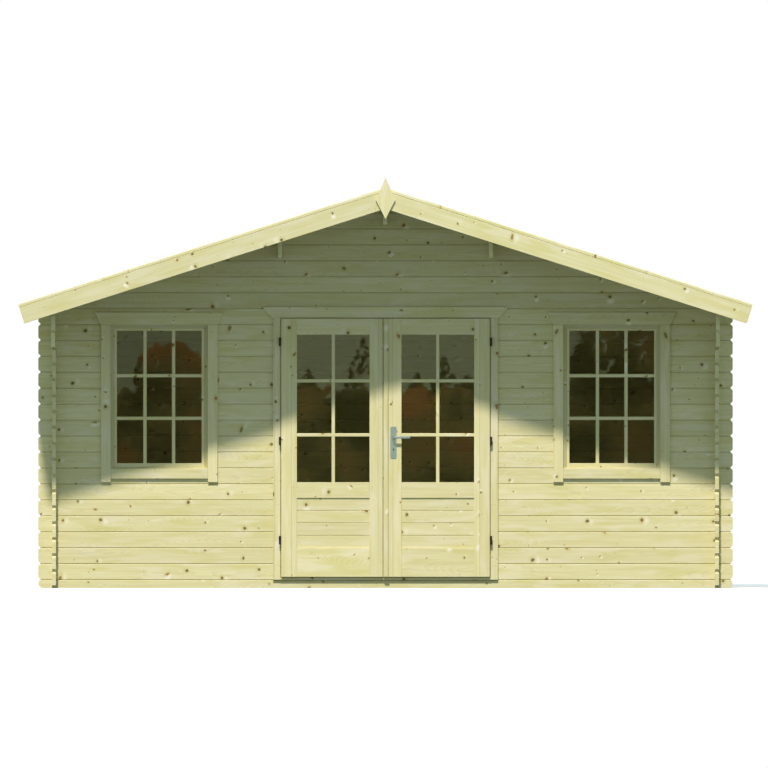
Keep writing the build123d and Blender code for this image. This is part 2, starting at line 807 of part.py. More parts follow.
def leaf_frame(meeting_x):
    """Stiles and rails of a right-hand leaf, tenoned together, grooved for glass and panel."""
    rails = (
        (leaf_bottom, bottom_rail_top), (mid_rail_bottom, mid_rail_top), (top_rail_bottom, leaf_top),
    )
    with BuildPart() as members:
        add(board(light_outer_x, leaf_outer_x, leaf_bottom, leaf_top, leaf_front, leaf_back))
        with BuildSketch(plan(leaf_bottom)):
            Polygon(
                (meeting_x, leaf_front), (meeting_light_x, leaf_front), (meeting_light_x, leaf_back),
                (meeting_x + meeting_edge_slope, leaf_back), align=None,
            )
        extrude(amount=leaf_top - leaf_bottom)
        for low, high in rails:
            add(board(
                meeting_light_x - groove_depth, light_outer_x + groove_depth,
                low + tenon_shoulder - seat_gap, high - tenon_shoulder + seat_gap,
                leaf_middle - tenon_thickness / 2 - seat_gap, leaf_middle + tenon_thickness / 2 + seat_gap,
            ), mode=Mode.SUBTRACT)
        for low, high, thickness in (
            (bottom_rail_top, mid_rail_bottom, panel_thickness),
            (mid_rail_top, top_rail_bottom, glass_thickness),
        ):
            add(board(
                meeting_light_x - groove_depth, light_outer_x + groove_depth,
                low - groove_depth, high + groove_depth,
                leaf_middle - thickness / 2 - seat_gap, leaf_middle + thickness / 2 + seat_gap,
            ), mode=Mode.SUBTRACT)
        for low, high in rails:
            add(board(
                meeting_light_x + seat_gap, light_outer_x - seat_gap, low, high, leaf_front, leaf_back,
            ))
            add(board(
                meeting_light_x - groove_depth + seat_gap, light_outer_x + groove_depth - seat_gap,
                low + tenon_shoulder, high - tenon_shoulder,
                leaf_middle - tenon_thickness / 2, leaf_middle + tenon_thickness / 2,
            ))
        for low, high, thickness in (
            (bottom_rail_top, mid_rail_bottom, panel_thickness),
            (mid_rail_top, top_rail_bottom, glass_thickness),
        ):
            add(board(
                meeting_light_x + seat_gap, light_outer_x - seat_gap,
                low - groove_depth, high + groove_depth,
                leaf_middle - thickness / 2 - seat_gap, leaf_middle + thickness / 2 + seat_gap,
            ), mode=Mode.SUBTRACT)
    return members.part


def leaf_sheet(low, high, thickness):
    """Glass or panel of a right-hand leaf, let into the grooves round it."""
    return board(
        meeting_light_x - glass_lap, light_outer_x + glass_lap, low - glass_lap, high + glass_lap,
        leaf_middle - thickness / 2, leaf_middle + thickness / 2,
    )


with BuildPart() as right_leaf_frame:
    add(leaf_frame(right_meeting_x))
    with BuildSketch(elevation(leaf_front)):
        with Locations((handle_x, handle_z)):
            Rectangle(spindle_hole, spindle_hole)
        with Locations((handle_x, handle_z - keyhole_drop)):
            Rectangle(keyhole_width, keyhole_height)
    extrude(amount=-leaf_thickness, mode=Mode.SUBTRACT)
finish(right_leaf_frame.part, "right_leaf_frame")

with BuildPart() as left_leaf_frame:
    mirror(leaf_frame(-left_meeting_x), about=Plane.YZ)
finish(left_leaf_frame.part, "left_leaf_frame")

for sheet, low, high, thickness in (
    ("glass", mid_rail_top, top_rail_bottom, glass_thickness),
    ("panel", bottom_rail_top, mid_rail_bottom, panel_thickness),
):
    with BuildPart() as right_sheet:
        add(leaf_sheet(low, high, thickness))
    finish(right_sheet.part, f"right_leaf_{sheet}")
    with BuildPart() as left_sheet:
        mirror(right_sheet.part, about=Plane.YZ)
    finish(left_sheet.part, f"left_leaf_{sheet}")

strip_right_x = right_meeting_x + strip_width
with BuildPart() as meeting_strip:
    with BuildSketch(plan(leaf_bottom)):
        back = leaf_front - seat_gap
        face = back - strip_thickness
        Polygon(
            (right_meeting_x, back),
            (right_meeting_x, face + strip_bevel),
            (right_meeting_x + strip_bevel, face),
            (strip_right_x - strip_bevel, face),
            (strip_right_x, face + strip_bevel),
            (strip_right_x, back),
            align=None,
        )
    extrude(amount=leaf_top - leaf_bottom)
finish(meeting_strip.part, "meeting_strip")

# ------------------------------------------------------------------ hinges
frame_wing_x = casing_face_x - seat_gap - wing_thickness
leaf_wing_x = leaf_outer_x + seat_gap
hinge_x = leaf_outer_x + hinge_offset
lowest_hinge = leaf_bottom + hinge_low
highest_hinge = leaf_top - hinge_high
hinge_heights = (lowest_hinge, (lowest_hinge + highest_hinge) / 2, highest_hinge)
hinge_plane_y = -hinge_stand_off
wing_back = hinge_plane_y + wing_depth

with BuildPart() as right_frame_hinges:
    for middle in hinge_heights:
        with BuildSketch(plan(middle - knuckle_height)):
            with Locations((hinge_x, hinge_plane_y)):
                Circle(knuckle_radius)
            rectangle(frame_wing_x, frame_wing_x + wing_thickness, hinge_plane_y, wing_back)
        extrude(amount=knuckle_height - knuckle_gap / 2)
        with BuildSketch(plan(middle - knuckle_gap)):
            with Locations((hinge_x, hinge_plane_y)):
                Circle(pin_radius)
        extrude(amount=pin_length + knuckle_gap)
finish(right_frame_hinges.part, "right_frame_hinges")

with BuildPart() as right_leaf_hinges:
    for middle in hinge_heights:
        with BuildSketch(plan(middle + knuckle_gap / 2)):
            with Locations((hinge_x, hinge_plane_y)):
                Circle(knuckle_radius)
            rectangle(leaf_wing_x, leaf_wing_x + wing_thickness, hinge_plane_y, wing_back)
        extrude(amount=knuckle_height - knuckle_gap / 2)
        with BuildSketch(plan(middle + knuckle_gap / 2)):
            with Locations((hinge_x, hinge_plane_y)):
                Circle(pin_radius + pin_clearance)
        extrude(amount=pin_length + knuckle_gap, mode=Mode.SUBTRACT)
finish(right_leaf_hinges.part, "right_leaf_hinges")

for name, right in (("left_frame_hinges", right_frame_hinges), ("left_leaf_hinges", right_leaf_hinges)):
    with BuildPart() as left:
        mirror(right.part, about=Plane.YZ)
    finish(left.part, name)

# ------------------------------------------------------------------ lock and lever
outer_plate_back = leaf_front - seat_gap
inner_plate_front = leaf_back + seat_gap
with BuildPart() as lock_plates:
    for front in (outer_plate_back - plate_thickness, inner_plate_front):
        with BuildSketch(elevation(front)) as plate_sketch:
            with Locations((handle_x, handle_z - plate_drop)):
                Rectangle(plate_width, plate_height)
            chamfer(plate_sketch.vertices(), plate_corner)
            with Locations((handle_x, handle_z)):
                Circle(hub_radius + hub_clearance, mode=Mode.SUBTRACT)
            with Locations((handle_x, handle_z - keyhole_drop)):
                Rectangle(keyhole_width, keyhole_height, mode=Mode.SUBTRACT)
        extrude(amount=-plate_thickness)
finish(lock_plates.part, "lock_plates")


def lever_arm(plate_face, outward):
    """Hub, neck and flat grip on one side of the leaf, from inside the plate outward."""
    root = plate_face - outward * plate_thickness
    grip = plate_face + outward * lever_stand_off
    with BuildPart() as arm:
        with BuildSketch(plan(handle_z - lever_height / 2)):
            with BuildLine():
                FilletPolyline(
                    (handle_x, plate_face), (handle_x, grip), (handle_x + lever_reach, grip),
                    radius=lever_bend,
                )
            trace(line_width=lever_thickness)
        extrude(amount=lever_height)
        with BuildSketch(elevation(root)):
            with Locations((handle_x, handle_z)):
                Circle(hub_radius)
        extrude(amount=-outward * (plate_thickness + hub_length))
    return arm.part


with BuildPart() as door_lever:
    add(lever_arm(outer_plate_back - plate_thickness, -1))
    add(lever_arm(inner_plate_front + plate_thickness, 1))
    with BuildSketch(Plane(origin=(handle_x, front_y + outer_plate_back, handle_z), z_dir=(0, 1, 0))):
        Circle(spindle_radius)
    extrude(amount=inner_plate_front - outer_plate_back)
finish(door_lever.part, "door_lever")
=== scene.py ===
import json
import math
import random

import bmesh
import bpy
from mathutils import Matrix, Vector

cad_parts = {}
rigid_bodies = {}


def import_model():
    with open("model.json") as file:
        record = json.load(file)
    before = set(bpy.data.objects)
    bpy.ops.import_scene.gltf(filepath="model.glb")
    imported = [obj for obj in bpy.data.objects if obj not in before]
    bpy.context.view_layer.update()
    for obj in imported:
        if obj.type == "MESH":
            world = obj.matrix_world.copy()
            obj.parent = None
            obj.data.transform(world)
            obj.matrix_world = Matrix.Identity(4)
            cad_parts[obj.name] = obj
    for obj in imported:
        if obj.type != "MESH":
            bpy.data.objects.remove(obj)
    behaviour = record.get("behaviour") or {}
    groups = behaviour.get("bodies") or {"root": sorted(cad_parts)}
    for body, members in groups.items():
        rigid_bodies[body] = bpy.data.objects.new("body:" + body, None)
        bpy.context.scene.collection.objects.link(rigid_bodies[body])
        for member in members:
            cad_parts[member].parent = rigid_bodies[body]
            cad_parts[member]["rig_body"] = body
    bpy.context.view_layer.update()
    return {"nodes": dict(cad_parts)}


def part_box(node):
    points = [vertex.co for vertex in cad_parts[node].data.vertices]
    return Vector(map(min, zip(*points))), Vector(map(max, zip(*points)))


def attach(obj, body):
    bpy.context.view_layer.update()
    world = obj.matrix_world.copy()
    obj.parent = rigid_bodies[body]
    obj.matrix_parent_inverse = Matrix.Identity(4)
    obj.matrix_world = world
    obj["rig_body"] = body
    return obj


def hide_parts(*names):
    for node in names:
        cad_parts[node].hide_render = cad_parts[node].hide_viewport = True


# A log cabin of planed pine: the finishes of its CAD pieces, the pieces that are made here of
# boards, bars and nails, and the stage.  Metres, Z up.  The front looks along -Y.

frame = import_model()
nodes = frame["nodes"]
scene = bpy.context.scene
chance = random.Random(41)

PITCH = math.radians(17.6)  # of the roof
SLOPE = math.tan(PITCH)
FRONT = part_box("front_wall_right_logs")[0].y


# ------------------------------------------------------------------ materials
def linear(hex_colour):
    """Linear RGBA of an sRGB hex colour."""
    parts = [int(hex_colour[i:i + 2], 16) / 255 for i in (0, 2, 4)]
    return [p / 12.92 if p <= 0.04045 else ((p + 0.055) / 1.055) ** 2.4 for p in parts] + [1.0]


def put(tree, kind, wires=(), stops=(), **settings):
    """Add a shader node.

    wires gives its inputs, by number or by name, values, sockets or nodes; stops are the
    (place, hex colour) pairs of a colour ramp; the rest are the node's own settings.
    """
    made = tree.nodes.new("ShaderNode" + kind)
    for name, value in settings.items():
        setattr(made, name, value)
    if stops:
        ramp = made.color_ramp.elements
        for element, (position, colour) in zip(ramp, (stops[0], stops[-1])):
            element.position = position
            element.color = linear(colour)
        for position, colour in stops[1:-1]:
            ramp.new(position).color = linear(colour)
    for name, value in wires.items() if isinstance(wires, dict) else enumerate(wires):
        if isinstance(value, bpy.types.Node):
            value = value.outputs[0]
        if isinstance(value, bpy.types.NodeSocket):
            tree.links.new(value, made.inputs[name])
        else:
            made.inputs[name].default_value = value
    return made


def surface(name):
    """A new material with its tree, its output and its Principled shader."""
    made = bpy.data.materials.new(name)
    made.use_nodes = True
    tree = made.node_tree
    tree.nodes.clear()
    shader = put(tree, "BsdfPrincipled")
    end = put(tree, "OutputMaterial", {"Surface": shader})
    return made, tree, shader, end


def pine_pattern():
    """Planed pine: growth rings round a pith beside the board, soft streaks, and brown knots.

    Place is along, across and through one board from its middle line, in metres; Board is a
    number of its own; Edge is how far the board's nearest long edge is, and near it the wood
    is darkened as painted shade in the joint; Level is how pale the wood is, 1 for freshly planed.
    """
    group = bpy.data.node_groups.new("planed_pine", "ShaderNodeTree")
    for name, way, kind in (
        ("Place", "INPUT", "Vector"), ("Board", "INPUT", "Float"), ("Edge", "INPUT", "Float"),
        ("Level", "INPUT", "Float"),
        ("Colour", "OUTPUT", "Color"), ("Height", "OUTPUT", "Float"), ("Roughness", "OUTPUT", "Float"),
    ):
        group.interface.new_socket(name, in_out=way, socket_type="NodeSocket" + kind)
    start = group.nodes.new("NodeGroupInput").outputs
    end = group.nodes.new("NodeGroupOutput").inputs
    own = put(group, "TexWhiteNoise", {"W": start["Board"]}, noise_dimensions="1D").outputs
    own_parts = put(group, "SeparateColor", [own["Color"]]).outputs
    # each board is cut from another place in the wood
    moved = put(group, "VectorMath", {0: (37.1, 13.7, 5.3), "Scale": start["Board"]}, operation="SCALE")
    place = put(group, "VectorMath", [start["Place"], moved], operation="ADD")
    parts = put(group, "SeparateXYZ", [start["Place"]]).outputs
    far_along = put(group, "SeparateXYZ", [place]).outputs[0]

    # knots: feature points about 130 mm apart, of which some carry a knot of 4 to 24 mm across
    spread = 0.13
    wander = put(group, "TexNoise", {"Vector": place, "Scale": 30.0, "Detail": 1.0}).outputs["Color"]
    wander = put(group, "VectorMath", [wander, (0.5, 0.5, 0.5)], operation="SUBTRACT")
    wandered = put(group, "VectorMath", [wander, (0.016, 0.011, 0.0), place], operation="MULTIPLY_ADD")
    cells = put(group, "TexVoronoi", {
        "Vector": wandered, "Scale": 1 / spread, "Randomness": 1.0,
    }, voronoi_dimensions="2D", feature="F1").outputs
    draw = put(group, "SeparateColor", [cells["Color"]]).outputs
    from_knot = put(group, "VectorMath", [wandered, cells["Position"]], operation="SUBTRACT")
    angle = put(group, "Math", [draw[1], math.pi], operation="MULTIPLY")
    turned = put(group, "VectorRotate", {"Vector": from_knot, "Angle": angle}, rotation_type="Z_AXIS")
    # some branches are cut at a slant, and make a long knot
    drawn_out = put(group, "Math", [draw[2], 3.0], operation="POWER")
    narrow = put(group, "Math", [drawn_out, -0.6, 1.0], operation="MULTIPLY_ADD")
    stretch = put(group, "CombineXYZ", [narrow, 1.0, 0.0])
    flat = put(group, "VectorMath", [turned, stretch], operation="MULTIPLY")
    away = put(group, "VectorMath", [flat], operation="LENGTH").outputs["Value"]
    carries = put(group, "MapRange", {"Value": draw[0], "From Min": 0.5, "From Max": 1.0})
    size = put(group, "Math", [carries, 2.1], operation="POWER")
    is_knot = put(group, "Math", [carries, 0.001], operation="GREATER_THAN")
    radius = put(group, "Math", [size, 0.0100, 0.0024], operation="MULTIPLY_ADD")
    share = put(group, "Math", [away, radius], operation="DIVIDE")
    core = put(group, "MapRange", {
        "Value": share, "From Min": 0.7, "From Max": 1.2, "To Min": 1.0, "To Max": 0.0,
    }, interpolation_type="SMOOTHSTEP")
    core = put(group, "Math", [core, is_knot], operation="MULTIPLY")
    halo = put(group, "MapRange", {
        "Value": share, "From Min": 0.9, "From Max": 3.2, "To Min": 1.0, "To Max": 0.0,
    }, interpolation_type="SMOOTHSTEP")
    halo = put(group, "Math", [halo, is_knot], operation="MULTIPLY")
    # pale, curled grain on one side of the larger knots
    beside = put(group, "Math", [radius, -2.7], operation="MULTIPLY")
    beside = put(group, "CombineXYZ", [0.0, beside, 0.0])
    beside = put(group, "VectorMath", [flat, beside], operation="ADD")
    beside = put(group, "VectorMath", [beside], operation="LENGTH").outputs["Value"]
    beside = put(group, "Math", [beside, radius], operation="DIVIDE")
    curl = put(group, "MapRange", {
        "Value": beside, "From Min": 0.5, "From Max": 3.4, "To Min": 1.0, "To Max": 0.0,
    }, interpolation_type="SMOOTHSTEP")
    curl = put(group, "Math", [curl, is_knot], operation="MULTIPLY")
    grown = put(group, "MapRange", {"Value": size, "From Min": 0.01, "From Max": 0.12})
    curl = put(group, "Math", [curl, grown], operation="MULTIPLY")
    curled = put(group, "MapRange", {
        "Value": draw[1], "From Min": 0.3, "From Max": 0.7, "To Min": 0.2, "To Max": 0.95,
    })
    curl = put(group, "Math", [curl, curled], operation="MULTIPLY")

    # growth rings 4.4 mm apart round a pith that wanders along the board, and round the knots
    slow = put(group, "TexNoise", {
        "W": far_along, "Scale": 0.9, "Detail": 1.0,
    }, noise_dimensions="1D").outputs["Color"]
    slow = put(group, "SeparateColor", [slow]).outputs
    pith_across = put(group, "Math", [slow[0], 0.34, -0.17], operation="MULTIPLY_ADD")
    own_across = put(group, "Math", [own_parts[1], 0.09, -0.045], operation="MULTIPLY_ADD")
    pith_across = put(group, "Math", [pith_across, own_across], operation="ADD")
    pith_through = put(group, "Math", [slow[1], 0.09, -0.105], operation="MULTIPLY_ADD")
    pith = put(group, "CombineXYZ", [0.0, pith_across, pith_through])
    section = put(group, "CombineXYZ", [0.0, parts[1], parts[2]])
    ring_radius = put(group, "VectorMath", [section, pith], operation="DISTANCE").outputs["Value"]
    wavy_place = put(group, "VectorMath", [place, (2.2, 16.0, 16.0)], operation="MULTIPLY")
    wavy = put(group, "TexNoise", {"Vector": wavy_place, "Scale": 1.0, "Detail": 2.0})
    ring_radius = put(group, "Math", [wavy, 0.016, ring_radius], operation="MULTIPLY_ADD")
    ring_radius = put(group, "Math", [halo, 0.007, ring_radius], operation="MULTIPLY_ADD")
    ring = put(group, "Math", [ring_radius, 1 / 0.0044], operation="MULTIPLY")
    ring = put(group, "Math", [ring], operation="FRACT")
    late = put(group, "Math", [ring, 3.0], operation="POWER")

    # streaks 14 mm wide and half a metre long, fibres 2 mm wide, and broad soft patches
    streak_place = put(group, "VectorMath", [place, (1.7, 58.0, 58.0)], operation="MULTIPLY")
    streak = put(group, "TexNoise", {
        "Vector": streak_place, "Scale": 1.0, "Detail": 2.0, "Roughness": 0.55,
    })
    fibre_place = put(group, "VectorMath", [place, (14.0, 520.0, 520.0)], operation="MULTIPLY")
    fibre = put(group, "TexNoise", {"Vector": fibre_place, "Scale": 1.0, "Detail": 1.0})
    patch_place = put(group, "VectorMath", [place, (3.2, 17.0, 17.0)], operation="MULTIPLY")
    patch = put(group, "TexNoise", {"Vector": patch_place, "Scale": 1.0, "Detail": 1.5}).outputs["Color"]
    patch = put(group, "SeparateColor", [patch]).outputs

    colour = put(group, "ValToRGB", [streak], stops=(
        (0.30, "D9D09A"), (0.5, "DFD8A4"), (0.70, "E4DEAF"),
    ))
    sappy = put(group, "MapRange", {
        "Value": patch[0], "From Min": 0.50, "From Max": 0.72, "To Min": 0.0, "To Max": 0.62,
    }, interpolation_type="SMOOTHSTEP")
    colour = put(group, "Mix", {0: sappy, 6: colour, 7: linear("D3CB82")}, data_type="RGBA").outputs[2]
    creamy = put(group, "MapRange", {
        "Value": patch[1], "From Min": 0.52, "From Max": 0.66, "To Min": 0.0, "To Max": 0.55,
    }, interpolation_type="SMOOTHSTEP")
    colour = put(group, "Mix", {0: creamy, 6: colour, 7: linear("EAE2C2")}, data_type="RGBA").outputs[2]
    rosy = put(group, "Math", [own_parts[2], 0.32], operation="MULTIPLY")
    colour = put(group, "Mix", {0: rosy, 6: colour, 7: linear("E3D7A4")}, data_type="RGBA").outputs[2]
    level = put(group, "MapRange", {"Value": own_parts[0], "To Min": 0.94, "To Max": 1.03})
    late_shade = put(group, "Math", [late, -0.10, 1.018], operation="MULTIPLY_ADD")
    level = put(group, "Math", [level, late_shade], operation="MULTIPLY")
    fibre_shade = put(group, "Math", [fibre, 0.06, 0.97], operation="MULTIPLY_ADD")
    level = put(group, "Math", [level, fibre_shade], operation="MULTIPLY")
    # painted shade: within 5 mm of a board's long edge the wood darkens to 83 %, as if the joint lay in
    # shade
    painted_joint_shade = put(group, "MapRange", {
        "Value": start["Edge"], "From Min": 0.0, "From Max": 0.005, "To Min": 0.83, "To Max": 1.0,
    }, interpolation_type="SMOOTHSTEP")
    level = put(group, "Math", [level, painted_joint_shade], operation="MULTIPLY")
    level = put(group, "Math", [level, start["Level"]], operation="MULTIPLY")
    colour = put(group, "VectorMath", {0: colour, "Scale": level}, operation="SCALE")
    colour = put(group, "Mix", {0: curl, 6: colour, 7: linear("F4EDD2")}, data_type="RGBA").outputs[2]
    halo_share = put(group, "Math", [halo, 0.42], operation="MULTIPLY")
    colour = put(group, "Mix", {
        0: halo_share, 6: colour, 7: linear("BFAE5C"),
    }, data_type="RGBA").outputs[2]
    knot = put(group, "ValToRGB", [draw[2]], stops=(
        (0.0, "574D1E"), (0.3, "7A6B33"), (0.5, "67561F"),
        (0.7, "8E5A2C"), (0.85, "A8733A"), (1.0, "8C7B38"),
    ))
    rim = put(group, "MapRange", {
        "Value": share, "From Min": 0.3, "From Max": 1.0, "To Min": 1.05, "To Max": 0.72,
    })
    knot = put(group, "VectorMath", {0: knot, "Scale": rim}, operation="SCALE")
    # the smallest knots are faint
    core_share = put(group, "Math", [grown, 0.5, 0.42], operation="MULTIPLY_ADD")
    core_share = put(group, "Math", [core, core_share], operation="MULTIPLY")
    colour = put(group, "Mix", {0: core_share, 6: colour, 7: knot}, data_type="RGBA").outputs[2]
    height = put(group, "Math", [fibre, 0.5], operation="MULTIPLY")
    height = put(group, "Math", [late, 0.6, height], operation="MULTIPLY_ADD")
    rough = put(group, "Math", [late, -0.08, 0.66], operation="MULTIPLY_ADD")
    group.links.new(colour, end["Colour"])
    group.links.new(height.outputs[0], end["Height"])
    group.links.new(rough.outputs[0], end["Roughness"])
    return group


PINE = pine_pattern()


def grain(tree, point, along, across, pitch, start=0.0, side=0.0):
    """Place in a board, the board's number and how far its nearest edge is.

    The boards lie side by side, a pitch apart.
    """
    through = Vector(along).cross(Vector(across))
    parts = [
        put(tree, "VectorMath", [point, direction], operation="DOT_PRODUCT").outputs["Value"]
        for direction in (along, across, tuple(through))
    ]
    turns = put(tree, "Math", [parts[1], 1 / pitch, -start / pitch], operation="MULTIPLY_ADD")
    row = put(tree, "Math", [turns], operation="FLOOR")
    local = put(tree, "Math", [turns, row], operation="SUBTRACT")
    local = put(tree, "Math", [local, pitch, -pitch / 2], operation="MULTIPLY_ADD")
    edge = put(tree, "Math", [put(tree, "Math", [local], operation="ABSOLUTE"), -1.0, pitch / 2],
               operation="MULTIPLY_ADD")
    # the pith lies within 0.1 m of every face, whichever wall the board is in
    deep = put(tree, "Math", [parts[2], 0.1, -0.1], operation="WRAP")
    place = put(tree, "CombineXYZ", [parts[0], local, deep])
    wall = put(tree, "Math", [parts[2]], operation="FLOOR")
    numbers = put(tree, "CombineXYZ", [row, wall, side])
    board = put(tree, "TexWhiteNoise", {"Vector": numbers}, noise_dimensions="3D").outputs["Value"]
    return place, board, edge


def wood_into(tree, shader, place, board, edge, level, gloss=0.3):
    """Lead the pine pattern into a shader.  gloss is how much the bare wood shines."""
    wood = tree.nodes.new("ShaderNodeGroup")
    wood.node_tree = PINE
    for name, value in (("Place", place), ("Board", board), ("Edge", edge)):
        if isinstance(value, bpy.types.Node):
            value = value.outputs[0]
        tree.links.new(value, wood.inputs[name])
    wood.inputs["Level"].default_value = level
    tree.links.new(wood.outputs["Colour"], shader.inputs["Base Color"])
    tree.links.new(wood.outputs["Roughness"], shader.inputs["Roughness"])
    relief = put(tree, "Bump", {"Height": wood.outputs["Height"], "Strength": 0.12, "Distance": 0.0006})
    tree.links.new(relief.outputs[0], shader.inputs["Normal"])
    shader.inputs["Specular IOR Level"].default_value = gloss


def pine(name, lays, inside=None, fold=False, level=1.0):
    """Planed pine with its grain along one way, or along a second one inside a region.

    lays holds one or two (along, across, pitch, start), where pitch is how wide a board is: a pitch
    wider than the piece makes it one board.  inside makes the region's 0 or 1.  fold gives both
    halves of a mirrored piece the same directions.
    """
    made, tree, shader, _ = surface(name)
    point = put(tree, "TexCoord").outputs["Object"]
    side = 0.0
    if fold:
        parts = put(tree, "SeparateXYZ", [point]).outputs
        side = put(tree, "Math", [parts[0], 0.0], operation="GREATER_THAN")
        folded = put(tree, "Math", [parts[0]], operation="ABSOLUTE")
        point = put(tree, "CombineXYZ", [folded, parts[1], parts[2]])
    place, board, edge = grain(tree, point, *lays[0], side=side)
    if inside:
        mask = inside(tree, put(tree, "SeparateXYZ", [point]).outputs)
        other_place, other_board, other_edge = grain(tree, point, *lays[1], side=side)
        place = put(tree, "Mix", {0: mask, 4: place, 5: other_place}, data_type="VECTOR").outputs[1]
        board = put(tree, "Mix", {0: mask, 2: board, 3: other_board}, data_type="FLOAT")
        edge = put(tree, "Mix", {0: mask, 2: edge, 3: other_edge}, data_type="FLOAT")
    wood_into(tree, shader, place, board, edge, level)
    return made


def board_pine(name, level=1.0, gloss=0.3):
    """Pine on pieces made here, where each board carries its own place and number."""
    made, tree, shader, _ = surface(name)
    place = put(tree, "Attribute", attribute_name="grain").outputs["Vector"]
    board = put(tree, "Attribute", attribute_name="board").outputs["Fac"]
    edge = put(tree, "Attribute", attribute_name="edge").outputs["Fac"]
    wood_into(tree, shader, place, board, edge, level, gloss)
    return made


X, Y, Z = (1.0, 0.0, 0.0), (0.0, 1.0, 0.0), (0.0, 0.0, 1.0)
DOWN_SLOPE = (math.cos(PITCH), 0.0, -math.sin(PITCH))
OFF_SLOPE = (math.sin(PITCH), 0.0, math.cos(PITCH))


def beyond(axis, middle, half):
    """How far outside a band on one axis a point is, as a region's input."""
    def measure(tree, parts):
        from_middle = put(tree, "Math", [parts[axis], middle], operation="SUBTRACT")
        from_middle = put(tree, "Math", [from_middle], operation="ABSOLUTE")
        return put(tree, "Math", [from_middle, half], operation="SUBTRACT")
    return measure


def within(axis, middle, half):
    """A region: inside a band on one axis."""
    return lambda tree, parts: put(
        tree, "Math", [beyond(axis, middle, half)(tree, parts), 0.0], operation="LESS_THAN"
    )


def outside(axis, middle, half):
    """A region: outside a band on one axis."""
    return lambda tree, parts: put(
        tree, "Math", [beyond(axis, middle, half)(tree, parts), 0.0], operation="GREATER_THAN"
    )


def above(level):
    """A region: higher than a level."""
    return lambda tree, parts: put(tree, "Math", [parts[2], level], operation="GREATER_THAN")


def either(first, second):
    """A region: inside one of two."""
    return lambda tree, parts: put(
        tree, "Math", [first(tree, parts), second(tree, parts)], operation="MAXIMUM"
    )


def mitred(middle, half, low, high):
    """A region: the head and foot of a mitred frame round a window."""
    return lambda tree, parts: put(tree, "Math", [
        beyond(2, (low + high) / 2, (high - low) / 2)(tree, parts), beyond(0, middle, half)(tree, parts),
    ], operation="GREATER_THAN")


def set_finish(material, *names):
    """Give CAD nodes a material."""
    for name in names:
        mesh = nodes[name].data
        mesh.materials.clear()
        mesh.materials.append(material)


LOG = 0.115       # the height of one log
WINDOW_X = 1.629  # from the middle of the cabin to the middle of a window

# Some CAD pieces are joined up of upright and level parts, which meet at these heights and at
# these distances from the middle of the door or the window.
DOOR_FRAME_HEAD = 1.92685
DOOR_CASING_HEAD, DOOR_CASING_HEAD_HEIGHT = 1.94485, 0.08
DOOR_TRIM_HEAD = 1.9952
WINDOW_CASING_INNER = 0.34985
WINDOW_CASING_HEAD, WINDOW_CASING_HEAD_HEIGHT = 1.8939, 0.092
WINDOW_TRIM_MIDDLE, WINDOW_TRIM_HALF = 1.3597, 0.5379
WINDOW_FRAME_INNER, WINDOW_FRAME_FOOT, WINDOW_FRAME_HEAD = 0.336, 0.866, 1.8805
SASH_LIGHT_HALF = 0.30515
LIGHT_INNER, LIGHT_OUTER = 0.115, 0.638

set_finish(
    pine("planed_pine_logs_across", [(X, Z, LOG, LOG / 2)]),
    "front_sill_log", "front_wall_left_logs", "front_wall_right_logs", "rear_wall_logs",
)
# the gable logs are painted 5.5 % darker: painted shade under the roof's overhang
set_finish(
    pine("planed_pine_gable_logs_painted_shade", [(X, Z, LOG, LOG / 2)], level=0.945),
    "front_gable_logs", "rear_gable_logs",
)
set_finish(
    pine("planed_pine_side_logs", [(Y, Z, LOG)]),
    "left_wall_logs", "right_wall_logs", "left_canopy_logs", "right_canopy_logs",
)
set_finish(
    pine("planed_pine_purlins", [(Y, Z, 5.0)]),
    "ridge_purlin", "side_purlins", "eaves_battens", "floor_bearers",
)
set_finish(
    pine("planed_pine_bargeboards", [(DOWN_SLOPE, OFF_SLOPE, 3.0)], fold=True, level=0.965),
    "front_bargeboards", "rear_bargeboards",
)
set_finish(pine("planed_pine_upright", [(Z, X, 0.3, -0.1)]), "gable_finial", "meeting_strip")
set_finish(pine("planed_pine_threshold", [(X, Z, 5.0)]), "door_threshold")
set_finish(
    pine("planed_pine_door_frame", [(Z, X, 0.5, 0.2), (X, Z, 0.5, 0.2)], above(DOOR_FRAME_HEAD)),
    "door_frame",
)
# the head's height is its pitch, so painted joint shade runs along the head's top and bottom edges
set_finish(
    pine(
        "planed_pine_door_casings",
        [(Z, X, 0.5, 0.2), (X, Z, DOOR_CASING_HEAD_HEIGHT, DOOR_CASING_HEAD)], above(DOOR_CASING_HEAD),
    ),
    "door_trim_outside",
)
set_finish(
    pine("planed_pine_door_trim_inside", [(Z, X, 0.5, 0.2), (X, Z, 0.5, 0.2)], above(DOOR_TRIM_HEAD)),
    "door_trim_inside",
)
# the head's height is its pitch, so painted joint shade runs along the head's top and bottom edges
set_finish(
    pine(
        "planed_pine_window_casings",
        [(Z, X, 0.3), (X, Z, WINDOW_CASING_HEAD_HEIGHT, WINDOW_CASING_HEAD)],
        either(above(WINDOW_CASING_HEAD), within(0, WINDOW_X, WINDOW_CASING_INNER)), fold=True,
    ),
    "left_window_trim_outside", "right_window_trim_outside",
)
set_finish(
    pine(
        "planed_pine_window_trims_inside", [(Z, X, 0.3), (X, Z, 0.3)],
        outside(2, WINDOW_TRIM_MIDDLE, WINDOW_TRIM_HALF), fold=True,
    ),
    "window_trims_inside",
)
# the frames are painted 14 % darker: painted shade of the recess round the sashes
set_finish(
    pine(
        "planed_pine_window_frames_painted_shade", [(Z, X, 0.5, 0.2), (X, Z, 0.5, 0.2)],
        mitred(WINDOW_X, WINDOW_FRAME_INNER, WINDOW_FRAME_FOOT, WINDOW_FRAME_HEAD),
        fold=True, level=0.86,
    ),
    "left_window_frame", "right_window_frame",
)
set_finish(
    pine(
        "planed_pine_window_sashes", [(Z, X, 0.3), (X, Z, 0.5, 0.2)],
        within(0, WINDOW_X, SASH_LIGHT_HALF), fold=True,
    ),
    "left_window_sash", "right_window_sash",
)
